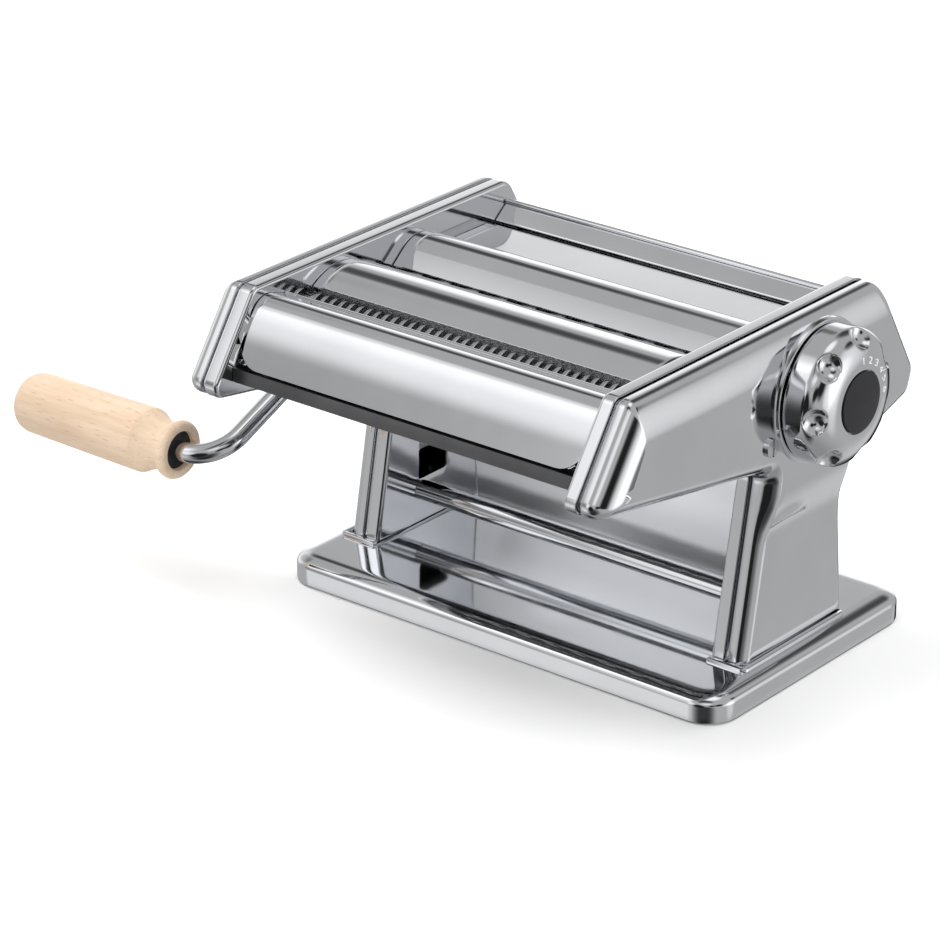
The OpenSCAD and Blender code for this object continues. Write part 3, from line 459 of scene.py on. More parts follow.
def tube(shape: Shape, path: Sequence[Vector], radius: float, around: int = 40) -> None:
    """Sweeps a round section along a path and closes its ends with small chamfers.

    Args:
        shape: The shape that takes the points.
        path: The centre line's points.
        radius: The section's radius.
        around: Steps round the section.
    """
    rings = []
    tangent = (path[1] - path[0]).normalized()
    side = tangent.orthogonal().normalized()
    last = len(path) - 1
    for i, point in enumerate(path):
        before, after = path[max(i - 1, 0)], path[min(i + 1, last)]
        tangent = (after - before).normalized()
        side = (side - tangent * side.dot(tangent)).normalized()
        up = tangent.cross(side)
        rings.append(
            [
                tuple(point + (side * math.cos(t) + up * math.sin(t)) * radius)
                for t in (math.tau * k / around for k in range(around))
            ]
        )
    rows = shape.loft(rings)
    share = 0.15
    for row, end, inner in ((rows[0], path[0], path[1]), (rows[-1], path[-1], path[-2])):
        chamfer = (end - inner).normalized() * (radius * share)
        lip = shape.ring(
            tuple(Vector(shape.points[i]) * (1 - share) + end * share + chamfer) for i in row
        )
        shape.bridge(row, lip)
        shape.fan(lip, tuple(end + chamfer))


# Finishes


class Tree:
    """A node tree, with short ways to add to it."""

    def __init__(self, owner: bpy.types.Material | bpy.types.World) -> None:
        """Starts the owner's tree with nothing in it."""
        owner.use_nodes = True
        self.tree = owner.node_tree
        self.tree.nodes.clear()

    def add(
        self, kind: str, values: Optional[dict[str | int, object]] = None, **settings: object
    ) -> bpy.types.Node:
        """Adds a node.

        Args:
            kind: The node's type.
            values: Values for its sockets.
            settings: Values for its properties.

        Returns:
            The node.
        """
        node = self.tree.nodes.new(kind)
        for key, value in settings.items():
            setattr(node, key, value)
        for key, value in (values or {}).items():
            node.inputs[key].default_value = value
        return node

    def link(self, a: bpy.types.NodeSocket, b: bpy.types.NodeSocket) -> None:
        """Links two sockets."""
        self.tree.links.new(a, b)

    def constant(self, value: float) -> bpy.types.NodeSocket:
        """Returns a fixed value."""
        socket = self.add("ShaderNodeValue").outputs[0]
        socket.default_value = value
        return socket


class Nodes(Tree):
    """A material's node tree, round one shader."""

    def __init__(self, name: str) -> None:
        """Starts a material with a Principled BSDF."""
        self.material = bpy.data.materials.new(name)
        super().__init__(self.material)
        self.shader = self.add("ShaderNodeBsdfPrincipled")
        output = self.add("ShaderNodeOutputMaterial")
        self.link(self.shader.outputs["BSDF"], output.inputs["Surface"])
        self.place = self.add("ShaderNodeTexCoord").outputs["Object"]

    def stretched(self, scale: Solid) -> bpy.types.NodeSocket:
        """Returns the object's coordinates, stretched."""
        mapping = self.add("ShaderNodeMapping", {"Scale": scale})
        self.link(self.place, mapping.inputs["Vector"])
        return mapping.outputs["Vector"]

    def noise(
        self, scale: float, stretch: Solid = (1, 1, 1), detail: float = 3, rough: float = 0.5
    ) -> bpy.types.NodeSocket:
        """Returns a noise value in the object's coordinates.

        Args:
            scale: Waves in a metre.
            stretch: Factors along X, Y and Z.
            detail: Finer layers that are added.
            rough: Strength of the finer layers.

        Returns:
            The noise's value socket.
        """
        values = {"Scale": scale, "Detail": detail, "Roughness": rough}
        noise = self.add("ShaderNodeTexNoise", values)
        self.link(self.stretched(stretch), noise.inputs["Vector"])
        return noise.outputs["Fac"]

    def between(
        self,
        value: bpy.types.NodeSocket,
        low: float,
        high: float,
        start: float = 0.3,
        end: float = 0.7,
    ) -> bpy.types.NodeSocket:
        """Returns a value spread over a range.

        Args:
            value: The value.
            low: The result where the value is start.
            high: The result where the value is end.
            start: Where the spread starts.
            end: Where the spread ends.

        Returns:
            The result's socket.
        """
        values = {"From Min": start, "From Max": end, "To Min": low, "To Max": high}
        spread = self.add("ShaderNodeMapRange", values)
        self.link(value, spread.inputs["Value"])
        return spread.outputs["Result"]

    def colours(
        self, value: bpy.types.NodeSocket, stops: Sequence[tuple[float, Rgb]]
    ) -> bpy.types.NodeSocket:
        """Returns a colour from a ramp with these stops."""
        ramp = self.add("ShaderNodeValToRGB")
        line = ramp.color_ramp
        while len(line.elements) < len(stops):
            line.elements.new(0.5)
        for element, (at, colour) in zip(line.elements, stops):
            element.position = at
            element.color = (*colour, 1)
        self.link(value, ramp.inputs["Fac"])
        return ramp.outputs["Color"]

    def mixed(
        self,
        share: bpy.types.NodeSocket,
        a: bpy.types.NodeSocket,
        b: bpy.types.NodeSocket,
        blend: str = "MIX",
    ) -> bpy.types.NodeSocket:
        """Returns two colours mixed by a share."""
        mix = self.add("ShaderNodeMix", data_type="RGBA", blend_type=blend)
        self.link(share, mix.inputs[0])
        self.link(a, mix.inputs[6])
        self.link(b, mix.inputs[7])
        return mix.outputs[2]

    def bump(
        self,
        height: bpy.types.NodeSocket,
        depth_mm: float,
        before: Optional[bpy.types.NodeSocket] = None,
    ) -> bpy.types.NodeSocket:
        """Returns a normal that a height field has bent.

        Args:
            height: The height field.
            depth_mm: Its depth in millimetres.
            before: A normal to start from, or None.

        Returns:
            The normal's socket, also linked to the shader.
        """
        bump = self.add("ShaderNodeBump", {"Strength": 1.0, "Distance": depth_mm * MM})
        self.link(height, bump.inputs["Height"])
        if before is not None:
            self.link(before, bump.inputs["Normal"])
        self.feed("Normal", bump.outputs["Normal"])
        return bump.outputs["Normal"]

    def feed(self, name: str, value: bpy.types.NodeSocket) -> None:
        """Links a value to one of the shader's sockets."""
        self.link(value, self.shader.inputs[name])

    def set(self, **values: object) -> None:
        """Sets the shader's plain sockets, with spaces for underscores."""
        for key, value in values.items():
            self.shader.inputs[key.replace("_", " ")].default_value = value


@dataclass(frozen=True)
class MetalFinish:
    """A metal surface: polished, ground or brushed."""

    name: str
    tint: Rgb
    dim: Rgb
    smooth: float
    rough: float
    ripple_mm: float = 0.01
    ripple_waves: float = 28
    grain: Axis = Axis.NONE
    grain_mm: float = 0.0
    metal: float = 1.0

    def build(self) -> bpy.types.Material:
        """Returns the material."""
        n = Nodes(self.name)
        n.set(Metallic=self.metal)
        haze = n.noise(34, detail=4)
        n.feed("Base Color", n.colours(haze, [(0.35, self.dim), (0.65, self.tint)]))
        wipe = n.noise(160, self.grain.value if self.grain is not Axis.NONE else (1, 0.35, 1), 5)
        n.feed("Roughness", n.between(wipe, self.smooth, self.rough))
        normal = n.bump(n.noise(self.ripple_waves, detail=1), self.ripple_mm)
        if self.grain_mm:
            n.bump(n.noise(2600, self.grain.value, 3), self.grain_mm, normal)
        return n.material


@dataclass(frozen=True)
class PlasticFinish:
    """Moulded plastic or rubber."""

    name: str
    tint: Rgb
    light: Rgb
    smooth: float
    rough: float
    pebble_mm: float = 0.01
    pebble_waves: float = 900

    def build(self) -> bpy.types.Material:
        """Returns the material."""
        n = Nodes(self.name)
        cloud = n.noise(60, detail=4)
        n.feed("Base Color", n.colours(cloud, [(0.35, self.tint), (0.7, self.light)]))
        n.feed("Roughness", n.between(n.noise(220, detail=4), self.smooth, self.rough))
        n.bump(n.noise(self.pebble_waves, detail=4), self.pebble_mm)
        n.set(Specular_IOR_Level=0.5)
        return n.material


@dataclass(frozen=True)
class TurnedBeech:
    """Light beech, turned on a lathe, with its grain and short flecks along X."""

    name: str = "turned_beech"
    pale: Rgb = (0.69, 0.55, 0.42)
    warm: Rgb = (0.59, 0.43, 0.30)
    fleck: Rgb = (0.36, 0.21, 0.12)

    def build(self) -> bpy.types.Material:
        """Returns the material."""
        n = Nodes(self.name)
        broad = n.noise(55, (0.22, 1, 1), 4, 0.6)
        fine = n.noise(420, (0.06, 1, 1), 5, 0.65)
        base = n.colours(broad, [(0.32, self.warm), (0.62, self.pale)])
        line = n.colours(fine, [(0.36, (0.86, 0.80, 0.74)), (0.6, (1, 1, 1))])
        grained = n.mixed(n.constant(0.55), base, line, "MULTIPLY")
        flecks = n.add("ShaderNodeTexVoronoi", {"Scale": 900}, feature="F1")
        n.link(n.stretched((0.14, 1, 1)), flecks.inputs["Vector"])
        share = n.between(flecks.outputs["Distance"], 0.55, 0.0, 0.06, 0.26)
        dark = n.colours(fine, [(0.2, self.fleck), (0.9, self.fleck)])
        n.feed("Base Color", n.mixed(share, grained, dark))
        n.feed("Roughness", n.between(fine, 0.42, 0.56))
        n.bump(fine, 0.05)
        n.set(Specular_IOR_Level=0.35)
        return n.material


class Finishes:
    """Every finish on the machine."""

    def __init__(self) -> None:
        """Builds each material once."""
        bright, soft = (0.885, 0.897, 0.922), (0.845, 0.858, 0.885)
        self.chrome = MetalFinish("chrome_sheet", bright, soft, 0.045, 0.085, 0.008).build()
        self.plate = MetalFinish("chrome_plate", bright, soft, 0.06, 0.1, 0.004).build()
        self.satin = MetalFinish(
            "satin_sheet", (0.87, 0.88, 0.90), (0.85, 0.86, 0.88), 0.24, 0.26, 0.002, metal=0.35
        ).build()
        self.rod = MetalFinish("chrome_rod", bright, soft, 0.05, 0.1, 0.004).build()
        self.roller = MetalFinish(
            "roller_steel", (0.68, 0.69, 0.70), (0.6, 0.61, 0.62), 0.16, 0.26, 0.004,
            grain=Axis.AROUND_X, grain_mm=0.004,
        ).build()
        # Dark steel for the combs, rods and carriage parts, darkened past their own tone so that
        # the strip they make under the front cover is painted shade
        self.dark = MetalFinish(
            "dark_steel", (0.17, 0.17, 0.175), (0.12, 0.12, 0.125), 0.25, 0.4, 0.01,
            grain=Axis.ALONG_X, grain_mm=0.006,
        ).build()
        self.gear = MetalFinish(
            "gear_steel", (0.42, 0.42, 0.43), (0.34, 0.34, 0.35), 0.3, 0.45, 0.006
        ).build()
        self.screw = MetalFinish(
            "screw_steel", (0.8, 0.81, 0.82), (0.7, 0.71, 0.72), 0.1, 0.2, 0.006
        ).build()
        self.nylon = PlasticFinish(
            "bush_nylon", (0.78, 0.76, 0.7), (0.84, 0.82, 0.77), 0.4, 0.55
        ).build()
        self.black = PlasticFinish(
            "black_plastic", (0.008, 0.008, 0.01), (0.013, 0.013, 0.016), 0.16, 0.26, 0.003
        ).build()
        self.rubber = PlasticFinish(
            "foot_rubber", (0.02, 0.02, 0.02), (0.04, 0.04, 0.04), 0.6, 0.8, 0.03
        ).build()
        self.etched = PlasticFinish(
            "etched_digit", (0.72, 0.72, 0.73), (0.8, 0.8, 0.81), 0.5, 0.65
        ).build()
        self.beech = TurnedBeech().build()


def dress(obj: bpy.types.Object, material: bpy.types.Material) -> None:
    """Gives a piece one material."""
    obj.data.materials.clear()
    obj.data.materials.append(material)


def settle(
    obj: bpy.types.Object,
    material: bpy.types.Material,
    slot: str,
    body: str,
    *nodes: str,
) -> bpy.types.Object:
    """Dresses a piece, sets it on its body and lets it stand for its solids.

    Args:
        obj: The piece.
        material: Its finish.
        slot: Not used.
        body: The body that it moves with.
        nodes: The solids that it stands for.

    Returns:
        The piece.
    """
    dress(obj, material)
    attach(obj, body)
    if nodes:
        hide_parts(*nodes)
    LOG.info("%s: %d faces, on %s", obj.name, len(obj.data.polygons), body)
    return obj


# The machine


@dataclass(frozen=True)
class Plan:
    """Sizes that the sub-assemblies share, as in the part's source."""

    half_w: float = 76.0
    flange_x: float = 81.6
    leg_x: float = 90.0
    face_x: float = 93.0
    base_top: float = 10.5
    foot_y: float = -32.6
    top_z: float = 132.0
    smooth_z: float = 99.0
    front_smooth_y: float = 19.4
    rear_smooth_y: float = 42.6
    smooth_r: float = 11.4
    wide_z: float = 107.0
    front_wide_y: float = -40.3
    rear_wide_y: float = -19.7
    fine_z: float = 111.0
    front_fine_y: float = -86.7
    rear_fine_y: float = -66.1
    cutter_r: float = 11.2
    journal_r: float = 5.5
    dial_y: float = 4.0
    dial_z: float = 105.0
    rod_r: float = 3.75
    seat: float = 0.2

    @property
    def panel(self) -> list[Corner]:
        """The side panel's corners, counterclockwise seen from the right."""
        return [
            (-97.4, self.top_z, 5.0),
            (-121.5, 96.8, 4.5),
            (-19.3, 80.4, 5.0),
            (self.foot_y, self.base_top, 0.0),
            (30.0, self.base_top, 0.0),
            (26.5, 52.0, 60.0),
            (28.8, 72.0, 8.0),
            (63.3, 82.5, 6.0),
            (67.5, 94.5, 9.0),
            (45.5, self.top_z, 7.0),
        ]


PLAN = Plan()


@dataclass
class Base:
    """The pressed tray that the machine stands on, and the lips at its legs' feet."""

    half_w: float = 98.4
    half_d: float = 60.0
    corner_r: float = 12.2
    edge_w: float = 7.0
    edge_h: float = 4.0
    sheet: float = 1.2
    hem: tuple[Flat, ...] = ((1.6, 0.25), (0.8, 0.02), (0.25, 0.15), (0.0, 0.7))
    edge_cuts: int = 10
    lip_t: float = 1.4
    lip_out: float = 2.5
    lip_front: float = 2.4
    lip_rear_y: float = 27.0

    def ring(self, d: float, z: float) -> list[Solid]:
        """Returns the tray's outline moved in by d at a height."""
        x, y, r = self.half_w, self.half_d, self.corner_r
        corners = [(x, -y, r), (x, y, r), (-x, y, r), (-x, -y, r)]
        points = closed_outline(inset(corners, [d] * 4), 14, edge_cuts(corners, 24))
        return [(p[0], p[1], z) for p in points]

    def tray(self) -> Shape:
        """Returns the tray: wall, broad rounded edge, flat top and turned hem."""
        shape = Shape()
        top, wall = PLAN.base_top, PLAN.base_top - self.edge_h
        line = [*self.hem, (0.0, wall * 0.5)]
        line += arc((self.edge_w, wall), (-self.edge_w, self.edge_h), self.edge_cuts)
        line += [(self.edge_w + 1.5, top), (self.edge_w + 8, top)]
        rows = shape.loft([self.ring(d, z) for d, z in line])
        shape.faces.append(tuple(rows[-1]))
        return shape

    def lip(self, side: Side) -> Shape:
        """Returns the thin lip round one leg's foot."""
        shape = Shape()
        front, rear, leg = PLAN.foot_y - self.lip_front, self.lip_rear_y, PLAN.foot_y - PLAN.seat
        x0, x1, x2 = PLAN.half_w, PLAN.leg_x + PLAN.seat, PLAN.leg_x + self.lip_out
        fine, broad = 0.3, 2.5
        outer = [
            (x0, front, fine), (x2, front, broad), (x2, rear, broad),
            (x1, rear, fine), (x1, leg, fine), (x0, leg, fine),
        ]
        t = self.lip_t
        heights = [(0.0, 0.0), (0.0, t - 0.5), (0.15, t - 0.15), (0.5, t)]
        rings = []
        for d, h in heights:
            flat = closed_outline(inset(outer, [d] * len(outer)), 6)
            rings.append([(side.value * p[0], p[1], PLAN.base_top + h) for p in flat])
        rows = shape.loft(rings)
        shape.faces += [tuple(rows[0]), tuple(rows[-1])]
        return shape

    def build(self, finishes: Finishes) -> None:
        """Makes the base's pieces."""
        up = Vector((0, 0, 1))
        tray = self.tray().skin("base_tray", finishes.chrome, "chrome_sheet", "frame", up, 60)
        thicken(tray, self.sheet)
        flat_shaded(tray)
        right = self.lip(Side.RIGHT).build("foot_lip_right", None, 50)
        settle(right, finishes.plate, "chrome_plate", "frame", "foot_lips")
        left = self.lip(Side.LEFT).build("foot_lip_left", None, 50)
        settle(left, finishes.plate, "chrome_plate", "frame")


@dataclass
class SidePanel:
    """One side: the inner plate with its flange, and the deep outer cover."""

    side: Side
    bend_r: float = 1.6
    groove_w: float = 1.8
    lip_w: float = 3.6
    bead_w: float = 2.6
    bead_in: float = 0.2
    bead_push: float = 0.6
    bead_back: float = 0.4
    sheet: float = 1.0
    bevels: tuple[float, ...] = (9.0, 5.5, 3.4, 0.0, 3.4, 4.2, 5.5, 4.5, 4.5, 13.5)
    steps: tuple[Flat, ...] = (
        (0.0, 0.0), (0.13, 0.02), (0.26, 0.06), (0.39, 0.13), (0.52, 0.225), (0.645, 0.345),
        (0.76, 0.48), (0.855, 0.62), (0.925, 0.755), (0.97, 0.87), (0.993, 0.955), (1.0, 1.02),
    )
    crown: float = 0.8
    crown_at: Flat = (-48.0, 104.0)
    crown_size: Flat = (42.0, 20.0)
    step_low: float = 56.0
    step_high: float = 72.0
    fold_at: Flat = (-22.0, 60.4)
    fold_l: float = 26.0
    fold_arch: float = 1.6
    fold_out: float = 1.3
    fold_fade: float = 1.4
    fold_above: float = 3.0
    fold_below: float = 0.85
    fold_grid_at: Flat = (-23.0, 57.5)
    fold_grid_step: Flat = (0.7, 0.4)
    fold_grid_count: tuple[int, int] = (41, 26)
    span: float = 2.6
    hole_r: float = 7.1
    socket_hole_r: float = 5.85
    clamp_low: Flat = (-8.4, 28.1)
    clamp_high: Flat = (8.2, 40.5)
    slot_r: float = 5.8
    slot_end: float = 8.0

    def sockets(self) -> list[Flat]:
        """Returns the places of the crank sockets."""
        return [
            (PLAN.front_smooth_y, PLAN.smooth_z),
            (PLAN.rear_wide_y, PLAN.wide_z),
            (PLAN.rear_fine_y, PLAN.fine_z),
        ]

    def face_at(self, y: float, z: float) -> float:
        """Returns how far out the cover's face is at a place.

        The leg is lower than the housing, which has a low crown in front. A small fold crosses the
        leg below the dial.

        Args:
            y: The place along Y.
            z: The place along Z.

        Returns:
            The face's distance from the machine's middle.
        """
        step = smooth_step(self.step_low, self.step_high, z)
        x = PLAN.leg_x + (PLAN.face_x - PLAN.leg_x) * step
        (y0, z0), (wide, high) = self.crown_at, self.crown_size
        x += self.crown * math.exp(-(((y - y0) / wide) ** 2) - ((z - z0) / high) ** 2)
        y0, z0 = self.fold_at
        if y0 < y < y0 + self.fold_l:
            share = math.sin(math.pi * (y - y0) / self.fold_l)
            above = z - z0 - self.fold_arch * share
            width = self.fold_above if above > 0 else self.fold_below
            x += self.fold_out * share**self.fold_fade * math.exp(-((above / width) ** 2))
        return x

    @staticmethod
    def window(low: Flat, high: Flat, radius: float, steps: int) -> list[Flat]:
        """Returns a rounded opening between its low and its high corner."""
        (y0, z0), (y1, z1) = low, high
        corners = [(y0, z0, radius), (y1, z0, radius), (y1, z1, radius), (y0, z1, radius)]
        return closed_outline(corners, steps)

    def plate(self) -> Shape:
        """Returns the inner plate and its flange as one open skin."""
        shape = Shape()
        panel, edge, r = PLAN.panel, PLAN.flange_x, self.bend_r
        n = len(panel)
        cuts = edge_cuts(panel, 8)
        line = [(0.35, edge), (0.1, edge - 0.1), (0.0, edge - 0.4)]
        line += arc((r, PLAN.half_w + r), (-r, -r), 8)
        flats = [closed_outline(inset(panel, [d] * n), 10, cuts) for d, _ in line]
        rows = shape.loft(
            [[(self.side.value * x, *p) for p in flat] for flat, (_, x) in zip(flats, line)]
        )
        smooth, wide, fine = self.sockets()
        front_wide, front_fine = (PLAN.front_wide_y, PLAN.wide_z), (PLAN.front_fine_y, PLAN.fine_z)
        shafts = [smooth, front_wide, wide, front_fine, fine]
        holes = [circle(c, self.hole_r) for c in shafts]
        holes.append(self.window(self.clamp_low, self.clamp_high, 1.0, 4))
        y, z, r = PLAN.rear_smooth_y, PLAN.smooth_z, self.slot_r
        holes.append(self.window((y - r, z - r), (y + self.slot_end, z + r), r - 0.1, 8))
        points, faces = filled(flats[-1], holes, 9)
        shape.faces += self.patch(shape, points, faces, rows[-1], lambda y, z: PLAN.half_w)
        return shape

    def patch(
        self,
        shape: Shape,
        points: Sequence[Flat],
        faces: Sequence[Face],
        border: Sequence[int],
        height: Callable[[float, float], float],
    ) -> list[Face]:
        """Adds a filled area inside a border that is there already.

        Args:
            shape: The shape that takes the points.
            points: The area's points, the border's first.
            faces: The area's triangles.
            border: The numbers of the border's points in the shape.
            height: Gives the distance from the machine's middle at a place.

        Returns:
            The triangles, numbered as in the shape.
        """
        numbers = list(border)
        numbers += shape.ring(
            (self.side.value * height(p[0], p[1]), p[0], p[1]) for p in points[len(border):]
        )
        return [tuple(numbers[i] for i in f) for f in faces]

    def cover(self) -> Shape:
        """Returns the outer cover as one open skin: lip, bead, bevel and face."""
        shape = Shape()
        panel = PLAN.panel
        n = len(panel)
        cuts = edge_cuts(panel, 5)
        lip_in, bead_x = self.sheet + PLAN.seat, PLAN.flange_x + self.groove_w
        side_x = bead_x + self.bead_w
        foot = [1.0] * n
        foot[3] = 0.0
        rows: list[list[Solid]] = []

        def add(d: Sequence[float], x: Callable[[float, float], float]) -> list[Flat]:
            """Adds one ring of the cover and returns its outline."""
            flat = closed_outline(inset(panel, d), 12, cuts)
            rows.append([(self.side.value * x(p[0], p[1]), p[0], p[1]) for p in flat])
            return flat

        add([lip_in] * n, lambda y, z: PLAN.flange_x - self.lip_w)
        add([lip_in] * n, lambda y, z: bead_x - 0.5)
        r = (lip_in - self.bead_in) / 2
        for k in range(1, 7):
            t = math.pi * k / 6
            d = self.bead_in + r * (1 + math.cos(t))
            push = self.bead_back - self.bead_push * math.sin(t)
            add([d * f for f in foot], lambda y, z, a=push: bead_x + a)
        add([self.bead_in * f for f in foot], lambda y, z: side_x - self.bead_back)
        flat: list[Flat] = []
        for x_share, in_share in self.steps:
            d = [self.bead_in * f + b * in_share for f, b in zip(foot, self.bevels)]
            flat = add(d, lambda y, z, s=x_share: side_x + (self.face_at(y, z) - side_x) * s)
        numbers = shape.loft(rows)
        holes = []
        if self.side is Side.LEFT:
            holes = [circle(p, self.socket_hole_r) for p in self.sockets()]
        points, faces = filled(flat, holes, self.span, self.fold_points())
        shape.faces += self.patch(shape, points, faces, numbers[-1], self.face_at)
        return shape

    def fold_points(self) -> list[Flat]:
        """Returns the close grid of points that the leg's fold needs."""
        (y, z), (wide, high), (columns, rows) = (
            self.fold_grid_at, self.fold_grid_step, self.fold_grid_count,
        )
        return [
            (y + wide * (i + 0.5 * (j % 2)), z + high * j)
            for i in range(columns)
            for j in range(rows)
        ]

    def build(self, finishes: Finishes) -> None:
        """Makes this side's pieces."""
        word = self.side.name.lower()
        out = Vector((self.side.value, 0, 0))
        name = f"{word}_side_plate"
        plate = self.plate().skin(name, finishes.plate, "chrome_plate", "frame", -out, 50)
        thicken(plate, self.sheet)
        flat_shaded(plate)
        name = f"{word}_outer_cover"
        cover = self.cover().skin(name, finishes.chrome, "chrome_sheet", "frame", out, 60)
        thicken(cover, self.sheet, even=False)


@dataclass
class Sheet:
    """One bent sheet between the side plates."""

    name: str
    corners: list[Corner]
    half_l: float
    facing: Solid
    thickness: float = 0.8
    end_r: float = 0.0
    steps: int = 10
    stations: int = 12
    rim_w: float = 0.0
    rim_drop: float = 0.0
    rim_fade: float = 1.3
    hem_at: Optional[Flat] = None
    hem_r: float = 1.3

    def spread(self) -> list[float]:
        """Returns the places along X, closer together near the ends."""
        half, n = self.half_l, self.stations
        places = [half * k / n for k in range(-n, n + 1)]
        ends = []
        if self.end_r:
            ends += [self.end_r * (1 - math.cos(math.pi / 2 * k / 8)) for k in range(9)]
        if self.rim_w:
            ends += [self.rim_w + more for more in (0, 0.25, 0.8, self.rim_fade)]
        for e in ends:
            places += [half - e, e - half]
        return sorted(set(round(p, 4) for p in places))

    def trimmed(self, line: list[Flat], x: float) -> list[Flat]:
        """Returns the sheet's line at x, cut short where the last edge has rounded corners."""
        over = abs(x) - (self.half_l - self.end_r)
        if not self.end_r or over <= 0:
            return line
        cut = self.end_r - math.sqrt(max(self.end_r**2 - over**2, 0.0))
        size = math.dist(line[-2], line[-1])
        return [*line[:-1], along(line[-2], line[-1], max(0.0, (size - cut) / size))]

    def build(self, finish: bpy.types.Material, slot: str = "chrome_sheet") -> None:
        """Makes the sheet and its hem."""
        shape = Shape()
        line = open_path(self.corners, self.steps)
        rows = []
        for x in self.spread():
            drop = 0.0
            if self.rim_w:
                rim = self.half_l - self.rim_w
                drop = self.rim_drop * smooth_step(rim - self.rim_fade, rim, abs(x))
            rows.append([(x, y, z - drop) for y, z in self.trimmed(line, x)])
        shape.loft(rows, closed=False)
        sheet = shape.skin(self.name, finish, slot, "frame", Vector(self.facing), 45)
        thicken(sheet, self.thickness)
        soften(sheet, 0.25)
        if self.hem_at:
            bead = Shape()
            x, r, middle = self.half_l, self.hem_r, 0.05
            corners = [(middle, -x, 0), (r, -x, 0.5), (r, x, 0.5), (middle, x, 0)]
            lathe(bead, closed_outline(corners), (0, *self.hem_at), 28)
            settle(bead.build(f"{self.name}_skin_hem", None, 40), finish, slot, "frame")


@dataclass
class Covers:
    """The sheets between the side plates: covers, feed plates and the lower rear panel."""

    half_l: float = 75.7
    front_half_l: float = 75.6
    panel_in: float = 2.6
    seam_y: float = 55.3
    seam_gap: Flat = (0.6, 0.2)
    rear_top: float = 121.4

    def build(self, finishes: Finishes) -> None:
        """Makes every sheet."""
        chrome, up, half_l = finishes.chrome, (0, 0, 1), self.half_l
        panel = inset(PLAN.panel, [self.panel_in] * len(PLAN.panel))
        front = [(-81.4, 125.4, 0), (-94.4, 129.5, 9), (-102.6, 118.8, 70), (-108.9, 106.7, 0)]
        Sheet(
            "front_cover", front, self.front_half_l, (0, -1, 0.5),
            end_r=10, hem_at=(-81.4, 124.75), steps=14,
        ).build(chrome)
        middle = [(-36.5, 124.0, 0), (-52.5, 133.2, 26), (-67, 124.0, 0)]
        rim = {"rim_w": 3.6, "rim_drop": 0.45}
        Sheet("middle_cover", middle, half_l, up, steps=16, **rim).build(chrome)
        feed = [
            (32.2, 117.1, 0), (32.2, 119.3, 1.0), (9, 119.3, 7.5), (-8.5, 130.5, 15),
            (-22.8, 118.7, 0),
        ]
        Sheet("feed_cover", feed, half_l, up, steps=12, **rim).build(chrome)
        plate = [(43.6, 124.0, 0), (36.8, 118.7, 1.0), (36.8, 116.5, 0)]
        hem = plate[0][:2]
        Sheet("rear_feed_plate", plate, half_l, (0, -1, 1), hem_at=hem, steps=5).build(chrome)
        low_y, top = self.seam_y, self.rear_top
        seam = along(panel[6], panel[7], (low_y - panel[6][0]) / (panel[7][0] - panel[6][0]))[1]
        end = along(panel[8], panel[9], (top - panel[8][1]) / (panel[9][1] - panel[8][1]))[0]
        rear = [(low_y, seam, 0), panel[7], panel[8], (end, top, 0)]
        Sheet("rear_cover", rear, half_l, (0, 1, 0.5)).build(chrome)
        low = [
            (panel[4][0], PLAN.base_top, 0), panel[5], panel[6],
            (low_y - self.seam_gap[0], seam - self.seam_gap[1], 0),
        ]
        sheet = Sheet("lower_rear_panel", low, half_l, (0, 1, -0.4))
        sheet.build(finishes.satin, "chrome_plate")


